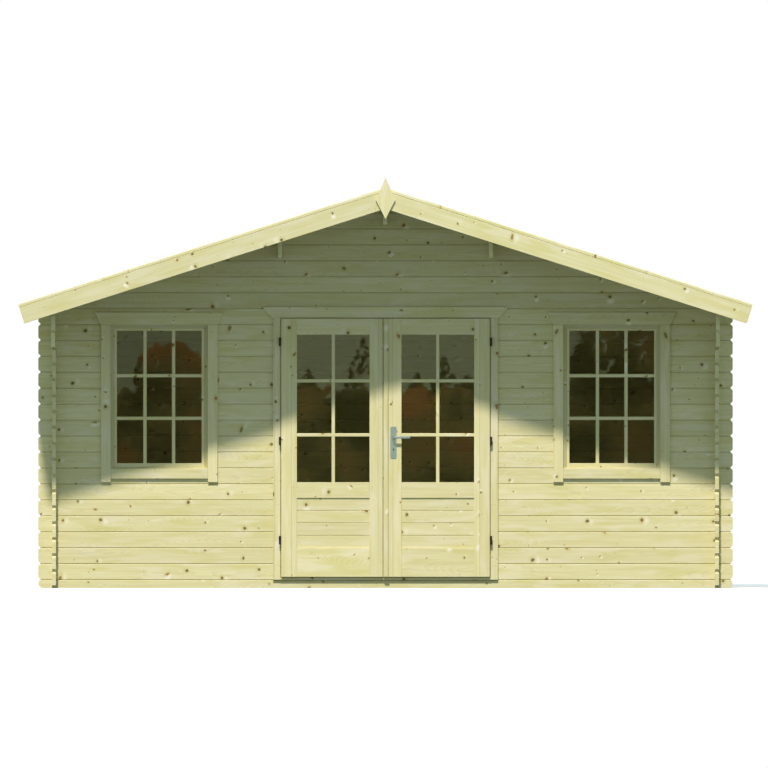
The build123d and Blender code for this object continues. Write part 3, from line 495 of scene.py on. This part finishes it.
# The stiles are glued up of two pieces each, which meet 53 and 677 mm from the middle of the door.
set_finish(
    pine(
        "planed_pine_door_leaves", [(Z, X, 0.312, 0.053), (X, Z, 0.4)],
        within(0, (LIGHT_INNER + LIGHT_OUTER) / 2, (LIGHT_OUTER - LIGHT_INNER) / 2 - 0.00015),
        fold=True, level=1.035,
    ),
    "left_leaf_frame", "right_leaf_frame",
)

# Float glass: clear and smooth, a little greenish in its thickness.  Lamps shine through it.
glass, glass_tree, glass_shader, glass_end = surface("clear_float_glass")
glass_shader.inputs["Base Color"].default_value = linear("DDE0C4")
glass_shader.inputs["Roughness"].default_value = 0.01
glass_shader.inputs["IOR"].default_value = 1.45
glass_shader.inputs["Transmission Weight"].default_value = 1.0
lamp_side = put(glass_tree, "BsdfTransparent", {"Color": linear("C9C79E")})
glass_mix = put(glass_tree, "MixShader", [
    put(glass_tree, "LightPath").outputs["Is Shadow Ray"], glass_shader, lamp_side,
])
glass_tree.links.new(glass_mix.outputs[0], glass_end.inputs["Surface"])
set_finish(glass, "left_window_glass", "right_window_glass", "left_leaf_glass", "right_leaf_glass")

# Hinges of browned steel: dark, a little uneven, dull.
hinge_steel, tree, shader, _ = surface("browned_steel")
rub = put(tree, "TexNoise", {
    "Vector": put(tree, "TexCoord").outputs["Object"], "Scale": 160.0, "Detail": 3.0,
})
ramp = put(tree, "ValToRGB", [rub], stops=((0.35, "211C13"), (0.7, "3A3122")))
tree.links.new(ramp.outputs[0], shader.inputs["Base Color"])
rough = put(tree, "Math", [rub, 0.3, 0.4], operation="MULTIPLY_ADD")
tree.links.new(rough.outputs[0], shader.inputs["Roughness"])
shader.inputs["Metallic"].default_value = 0.6
set_finish(
    hinge_steel, "left_leaf_hinges", "right_leaf_hinges", "left_frame_hinges", "right_frame_hinges",
)

# Lever and plates of satin nickel: bluish grey, brushed lengthwise.  The brushing is drawn 1 mm
# wide, ten times as coarse as it is, to show.
handle_steel, tree, shader, _ = surface("satin_nickel")
brushed = put(tree, "VectorMath", [
    put(tree, "TexCoord").outputs["Object"], (900.0, 900.0, 40.0),
], operation="MULTIPLY")
rub = put(tree, "TexNoise", {"Vector": brushed, "Scale": 1.0, "Detail": 2.0})
ramp = put(tree, "ValToRGB", [rub], stops=((0.3, "8FA2A6"), (0.7, "A9BABC")))
tree.links.new(ramp.outputs[0], shader.inputs["Base Color"])
rough = put(tree, "Math", [rub, 0.15, 0.3], operation="MULTIPLY_ADD")
tree.links.new(rough.outputs[0], shader.inputs["Roughness"])
shader.inputs["Metallic"].default_value = 0.85
set_finish(handle_steel, "lock_plates", "door_lever")


# ------------------------------------------------------------------ pieces made of boards
def plank(mesh, low, high, along, bevel, long_edges=True):
    """One board between two corners, with its edges taken off, and its own place in the grain.

    along is the axis that the grain follows.
    """
    low, high = Vector(low), Vector(high)
    size = high - low
    middle = (low + high) / 2
    made = bmesh.ops.create_cube(mesh, size=1.0)["verts"]
    bmesh.ops.scale(mesh, vec=size, verts=made)
    bmesh.ops.translate(mesh, vec=middle, verts=made)
    edges = {e for v in made for e in v.link_edges}
    if long_edges:
        edges = {e for e in edges if abs((e.verts[0].co - e.verts[1].co)[along]) > size[along] / 2}
    done = bmesh.ops.bevel(
        mesh, geom=list(edges), offset=bevel, offset_type="OFFSET", affect="EDGES",
        segments=1, profile=0.5, material=-1,
    )
    verts = {v for f in done["faces"] for v in f.verts} | {v for v in made if v.is_valid}
    across = sorted({0, 1, 2} - {along}, key=lambda axis: -size[axis])
    place = mesh.verts.layers.float_vector["grain"]
    number = mesh.verts.layers.float["board"]
    edge = mesh.verts.layers.float["edge"]
    own = chance.random()
    for v in verts:
        from_middle = v.co - middle
        v[place] = (v.co[along], from_middle[across[0]], from_middle[across[1]])
        v[number] = own
        # the faces of the joint get painted shade, and the board's face does not
        v[edge] = 0.0 if size[across[0]] / 2 - abs(v[place].y) < bevel / 2 else 0.005
    return list(verts)


def new_mesh():
    """An empty mesh whose points carry their place in the grain and their board's number."""
    mesh = bmesh.new()
    mesh.verts.layers.float_vector.new("grain")
    mesh.verts.layers.float.new("board")
    mesh.verts.layers.float.new("edge")
    return mesh


def settle(mesh, name, body, material, stands_for=()):
    """Make a piece of a finished mesh, with its place in its mesh, and let it ride on its body."""
    data = bpy.data.meshes.new(name)
    mesh.to_mesh(data)
    mesh.free()
    piece = bpy.data.objects.new(name, data)
    scene.collection.objects.link(piece)
    data.materials.append(material)
    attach(piece, body)
    if stands_for:
        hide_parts(*stands_for)
    return piece


def soften(node, size, planed_off=0.0):
    """A piece in the place of a CAD node, alike but with its sharp edges taken off.

    planed_off is what a bargeboard also loses from its lower edge.
    """
    mesh = bmesh.new()
    mesh.from_mesh(nodes[node].data)
    bmesh.ops.remove_doubles(mesh, verts=mesh.verts, dist=0.00002)
    bmesh.ops.dissolve_limit(mesh, angle_limit=math.radians(3), verts=mesh.verts, edges=mesh.edges)
    if planed_off:
        off_slope = {v: abs(v.co.x) * OFF_SLOPE[0] + v.co.z * OFF_SLOPE[2] for v in mesh.verts}
        halfway = (min(off_slope.values()) + max(off_slope.values())) / 2
        for v in [v for v in mesh.verts if off_slope[v] < halfway]:
            # the two boards still meet on the middle line
            if abs(v.co.x) < 0.01:
                v.co.z += planed_off / math.cos(PITCH)
            else:
                v.co += planed_off * Vector((math.copysign(OFF_SLOPE[0], v.co.x), 0.0, OFF_SLOPE[2]))
    sharp = [e for e in mesh.edges if len(e.link_faces) == 2 and e.calc_face_angle() > math.radians(35)]
    bmesh.ops.bevel(
        mesh, geom=sharp, offset=size, offset_type="OFFSET", affect="EDGES",
        segments=2, profile=0.5, material=-1, clamp_overlap=True,
    )
    settle(mesh, node + "_rounded", nodes[node]["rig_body"], nodes[node].data.materials[0], [node])


for node, size in (
    ("door_trim_outside", 0.002),
    ("left_window_trim_outside", 0.002), ("right_window_trim_outside", 0.002),
    ("door_trim_inside", 0.0015), ("window_trims_inside", 0.0015), ("meeting_strip", 0.002),
    ("left_window_sash", 0.0015), ("right_window_sash", 0.0015), ("gable_finial", 0.002),
    ("left_leaf_frame", 0.0015), ("right_leaf_frame", 0.0015), ("left_window_frame", 0.003),
    ("right_window_frame", 0.003), ("front_bargeboards", 0.002),
):
    soften(node, size)
# the rear bargeboards are narrower than the front ones, and don't show under them
soften("rear_bargeboards", 0.002, planed_off=0.024)
for node, size in (("door_lever", 0.003), ("lock_plates", 0.0012)):
    soften(node, size)

joinery = board_pine("planed_pine_joinery")
# the roof's rough-sawn faces are darker and duller than its planed edges
roof_wood = board_pine("sawn_pine_roof_boards", 0.88, gloss=0.08)
roof_edge_wood = board_pine("planed_pine_roof_edges", 1.03)
floor_finish = board_pine("planed_pine_floor_boards")

# roof: tongued boards from the ridge to the eaves, 88 mm wide, with a V joint along each edge
ROOF_BOARD = 0.088
ROOF_THICKNESS = 0.024
ROOF_BEVEL = 0.004
ROOF_GAP = 0.0001   # on each side of a joint
RIDGE_GAP = 0.0004  # on each side of the ridge
for side, node in ((1, "right_roof_deck"), (-1, "left_roof_deck")):
    low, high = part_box(node)
    reach = max(abs(low.x), abs(high.x))
    run = reach / math.cos(PITCH)
    count = round((high.y - low.y) / ROOF_BOARD)
    width = (high.y - low.y) / count
    mesh = new_mesh()
    for n in range(count):
        y0 = low.y + n * width
        verts = plank(
            mesh, (0.0, y0 + (ROOF_GAP if n else 0.0), -ROOF_THICKNESS),
            (run, y0 + width - (ROOF_GAP if n < count - 1 else 0.0), 0.0), 0, ROOF_BEVEL,
        )
        # cut plumb at the ridge: the top face starts on the middle line
        for v in verts:
            if v.co.x < 0.01:
                v.co.x += -v.co.z * SLOPE + RIDGE_GAP
    # the edges that show over the bargeboards are no joints and get no painted joint shade, and they are
    # paler than the faces
    edge = mesh.verts.layers.float["edge"]
    for face in mesh.faces:
        from_middle = abs(face.calc_center_median().y - (low.y + high.y) / 2)
        if from_middle > (high.y - low.y) / 2 - 0.75 * ROOF_BEVEL:
            face.material_index = 1
            for v in face.verts:
                v[edge] = 0.005
    turn = Matrix.Translation((0, 0, high.z)) @ Matrix.Rotation(PITCH, 4, "Y")
    bmesh.ops.transform(mesh, matrix=turn, verts=mesh.verts)
    if side < 0:
        bmesh.ops.transform(mesh, matrix=Matrix.Scale(-1, 4, (1, 0, 0)), verts=mesh.verts)
        bmesh.ops.reverse_faces(mesh, faces=mesh.faces)
    piece = settle(mesh, node.replace("deck", "boards"), "cabin", roof_wood, [node])
    piece.data.materials.append(roof_edge_wood)

# floor: tongued boards across the bearers, with butt joints that change from row to row
FLOOR_BOARD = 0.1
FLOOR_GAP = 0.0004  # on each side of a joint
low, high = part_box("floor_deck")
count = round((high.y - low.y) / FLOOR_BOARD)
width = (high.y - low.y) / count
mesh = new_mesh()
for n in range(count):
    joint = low.x + (high.x - low.x) * (0.36, 0.64, 0.5)[n % 3]
    for x0, x1 in ((low.x, joint - FLOOR_GAP), (joint + FLOOR_GAP, high.x)):
        plank(
            mesh, (x0, low.y + n * width + FLOOR_GAP, low.z),
            (x1, low.y + (n + 1) * width - FLOOR_GAP, high.z), 0, 0.0012, long_edges=False,
        )
settle(mesh, "floor_boards", "cabin", floor_finish, ["floor_deck"])

# door panels: level boards with a V joint
PANEL_JOINTS = (0.378, 0.468, 0.558)
PANEL_GAP = 0.0003  # on each side of a joint
for node, body in (("left_leaf_panel", "left_leaf"), ("right_leaf_panel", "right_leaf")):
    low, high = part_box(node)
    levels = (low.z, *PANEL_JOINTS, high.z)
    mesh = new_mesh()
    for z0, z1 in zip(levels, levels[1:]):
        plank(mesh, (low.x, low.y, z0 + PANEL_GAP), (high.x, high.y, z1 - PANEL_GAP), 0, 0.0035)
    settle(mesh, node + "_boards", body, joinery, [node])

# a thin lath on the edge of the right leaf half closes the gap between the leaves
leaf_low, leaf_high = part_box("right_leaf_frame")
mesh = new_mesh()
plank(
    mesh, (leaf_low.x - 0.003, leaf_low.y + 0.002, leaf_low.z + 0.002),
    (leaf_low.x + 0.001, leaf_low.y + 0.010, leaf_high.z - 0.002), 2, 0.0005,
)
settle(mesh, "closing_lath", "right_leaf", joinery)

# ------------------------------------------------------------------ fixings
# Nails of zinc plated steel: dull grey, a little patchy.
zinc, tree, shader, _ = surface("zinc_plated_steel")
patchy = put(tree, "TexNoise", {
    "Vector": put(tree, "TexCoord").outputs["Object"], "Scale": 300.0, "Detail": 2.0,
})
ramp = put(tree, "ValToRGB", [patchy], stops=((0.35, "8E8D80"), (0.65, "B5B3A4")))
tree.links.new(ramp.outputs[0], shader.inputs["Base Color"])
shader.inputs["Metallic"].default_value = 1.0
shader.inputs["Roughness"].default_value = 0.42


def nail_heads(name, places, radius, stand, way):
    """Nail heads at places on a face; way turns them from upright to the face."""
    mesh = bmesh.new()
    for place in places:
        matrix = Matrix.Translation(place) @ way
        bmesh.ops.create_cone(
            mesh, cap_ends=True, cap_tris=False, segments=8, radius1=radius, radius2=radius * 0.75,
            depth=2 * stand, matrix=matrix,
        )
    settle(mesh, name, "cabin", zinc)


FORWARD = Matrix.Rotation(math.pi / 2, 4, "X")
NAIL, NAIL_STANDS = 0.0028, 0.0004
ROOF_NAIL, ROOF_NAIL_STANDS = 0.004, 0.0006
# pairs of nails up the casings
casing_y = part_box("door_trim_outside")[0].y
nail_heads("door_casing_nails", [
    (side * x, casing_y, z)
    for side in (-1, 1) for x in (0.770, 0.793) for z in (0.16, 0.6, 1.05, 1.5, 1.88)
], NAIL, NAIL_STANDS, FORWARD)
nail_heads("window_casing_nails", [
    (side * (WINDOW_X + part * x), casing_y, z)
    for side in (-1, 1) for part in (-1, 1) for x in (0.395, 0.416) for z in (0.82, 1.17, 1.52, 1.85)
], NAIL, NAIL_STANDS, FORWARD)
# two nails through the bargeboards at the eaves, at each purlin and half way between
board_low, board_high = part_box("front_bargeboards")
nail_heads("bargeboard_nails", [
    (side * x, board_low.y, board_high.z - SLOPE * x - drop)
    for side in (-1, 1) for x in (0.12, 0.755, 1.3, 1.85, 2.38) for drop in (0.035, 0.085)
], NAIL, NAIL_STANDS, FORWARD)

# two nails in each roof board over the wall, over the purlin and at the ridge
for side, name in ((1, "right"), (-1, "left")):
    low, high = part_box(name + "_roof_deck")
    count = round((high.y - low.y) / ROOF_BOARD)
    width = (high.y - low.y) / count
    down = [x / math.cos(PITCH) for x in (0.045, 0.757, 2.386)]
    turn = Matrix.Translation((0, 0, high.z)) @ Matrix.Rotation(PITCH, 4, "Y")
    turn = Matrix.Scale(side, 4, (1, 0, 0)) @ turn
    nails = [
        turn @ Vector((x, low.y + (n + part) * width, 0.0))
        for n in range(count) for part in (0.27, 0.73) for x in down
    ]
    nail_heads(
        name + "_roof_nails", nails, ROOF_NAIL, ROOF_NAIL_STANDS,
        Matrix.Rotation(side * PITCH, 4, "Y"),
    )

# ------------------------------------------------------------------ glazing bars
BAR = 0.025
# the bars' distances from the window's middle and their heights, and the light they divide
WINDOW_BAR_X, WINDOW_BAR_LEVELS = 0.103, (1.222, 1.529)
WINDOW_LIGHT_HALF, WINDOW_LIGHT_LOW, WINDOW_LIGHT_HIGH = 0.305, 0.899, 1.852
LEAF_BAR_X, LEAF_BAR_LEVELS = 0.376, (1.102, 1.492)
LEAF_LIGHT_LOW, LEAF_LIGHT_HIGH = 0.762, 1.8245


def bars(name, body, glass_node, uprights, levels, light, faces):
    """Bars on both sides of a glass: level bars whole, upright bars between them.

    light is the glass's opening, from left to right and from low to high; faces are the depths of
    the bars' front and back.
    """
    mesh = new_mesh()
    x0, x1, z0, z1 = light
    pane_low, pane_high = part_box(glass_node)
    for front, back in ((faces[0], pane_low.y - 0.0003), (pane_high.y + 0.0003, faces[1])):
        for level in levels:
            plank(mesh, (x0, front, level - BAR / 2), (x1, back, level + BAR / 2), 0, 0.003)
        edges = [z0] + [e for level in levels for e in (level - BAR / 2, level + BAR / 2)] + [z1]
        for upright in uprights:
            for foot, head in zip(edges[::2], edges[1::2]):
                plank(
                    mesh, (upright - BAR / 2, front + 0.0004, foot - 0.002),
                    (upright + BAR / 2, back - 0.0004, head + 0.002), 2, 0.003,
                )
    settle(mesh, name, body, joinery)


for side, name in ((-1, "left"), (1, "right")):
    middle = side * WINDOW_X
    sash_low, sash_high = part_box(name + "_window_sash")
    bars(
        name + "_window_bars", "cabin", name + "_window_glass",
        (middle - WINDOW_BAR_X, middle + WINDOW_BAR_X), WINDOW_BAR_LEVELS,
        (middle - WINDOW_LIGHT_HALF, middle + WINDOW_LIGHT_HALF, WINDOW_LIGHT_LOW, WINDOW_LIGHT_HIGH),
        (sash_low.y + 0.0012, sash_high.y - 0.0012),
    )
    leaf_low, leaf_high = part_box(name + "_leaf_frame")
    inner, outer = sorted((side * LIGHT_INNER, side * LIGHT_OUTER))
    bars(
        name + "_leaf_bars", name + "_leaf", name + "_leaf_glass", (side * LEAF_BAR_X,),
        LEAF_BAR_LEVELS, (inner, outer, LEAF_LIGHT_LOW, LEAF_LIGHT_HIGH),
        (leaf_low.y + 0.004, leaf_high.y - 0.004),
    )

# ------------------------------------------------------------------ light, floor and camera
# Matte floor paint: pale to the eye, and darker to the light that it sends back.  It lies 1 mm
# under the logs.
floor_material, tree, shader, end = surface("matte_floor_paint")
shader.inputs["Base Color"].default_value = linear("656D68")
shader.inputs["Roughness"].default_value = 0.9
seen = put(tree, "AddShader", [
    put(tree, "BsdfDiffuse", {"Color": linear("F2F2F0")}),
    put(tree, "Emission", {"Color": (1.0, 1.0, 1.0, 1.0), "Strength": 0.42}),
])
floor_mix = put(tree, "MixShader", [put(tree, "LightPath").outputs["Is Camera Ray"], shader, seen])
tree.links.new(floor_mix.outputs[0], end.inputs["Surface"])
mesh = bmesh.new()
under_logs = Matrix.Translation((0, 0, -0.001))
bmesh.ops.create_grid(mesh, x_segments=1, y_segments=1, size=7.0, matrix=under_logs)
data = bpy.data.meshes.new("floor")
mesh.to_mesh(data)
mesh.free()
floor = bpy.data.objects.new("floor", data)
floor.data.materials.append(floor_material)
scene.collection.objects.link(floor)

# Shrubs, young firs and a hazy sky in front of the cabin, seen only in its glass: glowing cards that
# paint a reflection into it.
GARDEN_Y = FRONT - 12.0


def glowing(name):
    """A new material that shines by itself as a painted reflection, brighter before the door, with its
    tree and shader.
    """
    made, tree, shader, _ = surface(name)
    shader.inputs["Base Color"].default_value = (0.0, 0.0, 0.0, 1.0)
    shader.inputs["Specular IOR Level"].default_value = 0.0
    across = put(tree, "SeparateXYZ", [put(tree, "TexCoord").outputs["Object"]]).outputs[0]
    aside = put(tree, "Math", [across], operation="ABSOLUTE")
    bright = put(tree, "MapRange", {
        "Value": aside, "From Min": 0.75, "From Max": 1.0, "To Min": 1.42, "To Max": 1.0,
    })
    tree.links.new(bright.outputs[0], shader.inputs["Emission Strength"])
    return made, tree, shader


def in_the_glass(name, mesh, material):
    """A stage object that only glass and mirrors show."""
    data = bpy.data.meshes.new(name)
    mesh.to_mesh(data)
    mesh.free()
    made = bpy.data.objects.new(name, data)
    data.materials.append(material)
    scene.collection.objects.link(made)
    made.visible_camera = False
    made.visible_diffuse = False
    made.visible_shadow = False


leaves, tree, shader = glowing("autumn_leaves")
spot = put(tree, "TexCoord").outputs["Object"]
mottle = put(tree, "TexNoise", {"Vector": spot, "Scale": 38.0, "Detail": 3.0, "Roughness": 0.7})
drift = put(tree, "TexNoise", {"Vector": spot, "Scale": 2.3, "Detail": 1.0})
drift = put(tree, "Math", [drift, 1.2, -0.6], operation="MULTIPLY_ADD")
shade = put(tree, "Math", [mottle, drift], operation="ADD")
spot_parts = put(tree, "SeparateXYZ", [spot]).outputs
risen = put(tree, "MapRange", {
    "Value": spot_parts[2], "From Min": 1.15, "From Max": 1.7, "To Min": -0.12, "To Max": 0.16,
})
# the shrub before the right window is green to its top
turned = put(tree, "MapRange", {
    "Value": spot_parts[0], "From Min": 1.0, "From Max": 1.3, "To Min": 1.0, "To Max": 0.0,
})
greener = put(tree, "Math", [turned, 0.15, -0.15], operation="MULTIPLY_ADD")
risen = put(tree, "Math", [risen, turned, greener], operation="MULTIPLY_ADD")
shade = put(tree, "Math", [shade, risen], operation="ADD")
ramp = put(tree, "ValToRGB", [shade], stops=(
    (0.28, "605C3C"), (0.46, "A8A06A"), (0.58, "BC985E"), (0.74, "E0985A"), (0.95, "F4CC86"),
))
tree.links.new(ramp.outputs[0], shader.inputs["Emission Color"])
needles, tree, shader = glowing("fir_needles")
spot = put(tree, "TexCoord").outputs["Object"]
mottle = put(tree, "TexNoise", {"Vector": spot, "Scale": 30.0, "Detail": 2.0})
ramp = put(tree, "ValToRGB", [mottle], stops=((0.35, "4E5030"), (0.55, "7C7C50"), (0.75, "A08C58")))
tree.links.new(ramp.outputs[0], shader.inputs["Emission Color"])
# the middle, the top and half the width of each fir
firs = (
    (-0.17, 1.82, 0.20), (-0.58, 1.58, 0.14), (0.44, 1.68, 0.17), (0.24, 1.55, 0.12),
    (0.62, 1.54, 0.14), (1.48, 1.90, 0.22), (1.82, 1.82, 0.20),
)
FIR_FOOT = 1.3
for n, (middle, top, half) in enumerate(firs):
    mesh = bmesh.new()
    for _ in range(110):
        level = chance.random() ** 0.8
        reach = half * (1.0 - level) + 0.006
        place = (middle + chance.uniform(-reach, reach), GARDEN_Y, FIR_FOOT + (top - FIR_FOOT) * level)
        size = 0.008 + 0.02 * (1.0 - level)
        bmesh.ops.create_icosphere(mesh, subdivisions=1, radius=size, matrix=Matrix.Translation(place))
    in_the_glass(f"fir_{n}", mesh, needles)
# the middle, the height, the radius and the number of tufts of each shrub
shrubs = ((-1.63, 1.52, 0.26, 300), (1.80, 1.55, 0.40, 640), (-2.3, 1.4, 0.2, 100), (2.3, 1.4, 0.2, 100))
for n, (middle, level, half, tufts) in enumerate(shrubs):
    mesh = bmesh.new()
    for _ in range(tufts):
        angle = chance.uniform(0.0, 2 * math.pi)
        reach = half * math.sqrt(chance.random())
        place = (middle + reach * math.cos(angle), GARDEN_Y, level + reach * math.sin(angle))
        bmesh.ops.create_icosphere(mesh, subdivisions=1, radius=0.03, matrix=Matrix.Translation(place))
    in_the_glass(f"shrub_{n}", mesh, leaves)
HEDGE_TOP = 1.36
for n in range(8):
    mesh = bmesh.new()
    for _ in range(80):
        place = (n - 4 + chance.random(), GARDEN_Y, HEDGE_TOP + chance.uniform(-0.09, 0.07))
        bmesh.ops.create_icosphere(mesh, subdivisions=1, radius=0.04, matrix=Matrix.Translation(place))
    in_the_glass(f"hedge_top_{n}", mesh, leaves)
mesh = bmesh.new()
hedge = Matrix.Translation((0.0, GARDEN_Y, HEDGE_TOP / 2)) @ Matrix.Diagonal((8.0, 0.06, HEDGE_TOP, 1.0))
bmesh.ops.create_cube(mesh, size=1.0, matrix=hedge)
in_the_glass("hedge", mesh, leaves)
haze, _, shader = glowing("hazy_sky")
shader.inputs["Emission Color"].default_value = linear("EAF4C6")
mesh = bmesh.new()
sky = Matrix.Translation((0.0, GARDEN_Y - 0.5, 4.0)) @ Matrix.Diagonal((16.0, 0.02, 8.0, 1.0))
bmesh.ops.create_cube(mesh, size=1.0, matrix=sky)
in_the_glass("sky_card", mesh, haze)

world = bpy.data.worlds.new("studio")
scene.world = world
world.use_nodes = True
tree = world.node_tree
tree.nodes.clear()
path = put(tree, "LightPath").outputs
soft = put(tree, "Background", {"Color": (0.63, 0.85, 0.975, 1.0), "Strength": 0.55})
white = put(tree, "Background", {"Color": (1.0, 1.0, 1.0, 1.0), "Strength": 1.0})
# white to the eye and in what mirrors or shows it, and soft light to what it only lights
seen = put(tree, "Math", [path["Is Glossy Ray"], path["Is Transmission Ray"]], operation="MAXIMUM")
seen = put(tree, "Math", [path["Is Camera Ray"], seen], operation="MAXIMUM")
direct = put(tree, "Math", [path["Diffuse Depth"], 0.5], operation="LESS_THAN")
seen = put(tree, "Math", [seen, direct], operation="MULTIPLY")
both = put(tree, "MixShader", [seen, soft, white])
put(tree, "OutputWorld", {"Surface": both})


def sun(name, direction, strength, angle, colour):
    """A distant lamp whose light travels in a direction."""
    lamp = bpy.data.lights.new(name, "SUN")
    lamp.energy = strength
    lamp.angle = math.radians(angle)
    lamp.color = colour
    made = bpy.data.objects.new(name, lamp)
    made.rotation_euler = Vector(direction).to_track_quat("-Z", "Y").to_euler()
    scene.collection.objects.link(made)


sun("key", (0.160, 1.0, -1.187), 3.33, 3.0, (1.06, 0.977, 0.907))
sun("fill_rear_right", (-0.9, -1.0, -0.16), 0.75, 25.0, (1.0, 1.0, 1.0))
sun("fill_rear_left", (0.9, -0.6, -0.16), 0.6, 25.0, (1.0, 1.0, 1.0))

camera_data = bpy.data.cameras.new("camera")
camera_data.lens = 1650.0
camera_data.sensor_width = 36.0
camera = bpy.data.objects.new("camera", camera_data)
view_width = 5.53
distance = view_width * camera_data.lens / camera_data.sensor_width
camera.location = (-0.0108, FRONT - distance, 1.469)
camera.rotation_euler = (math.pi / 2, 0.0, 0.0)
camera_data.clip_end = 4 * distance
scene.collection.objects.link(camera)
scene.camera = camera
scene.view_settings.view_transform = "Standard"
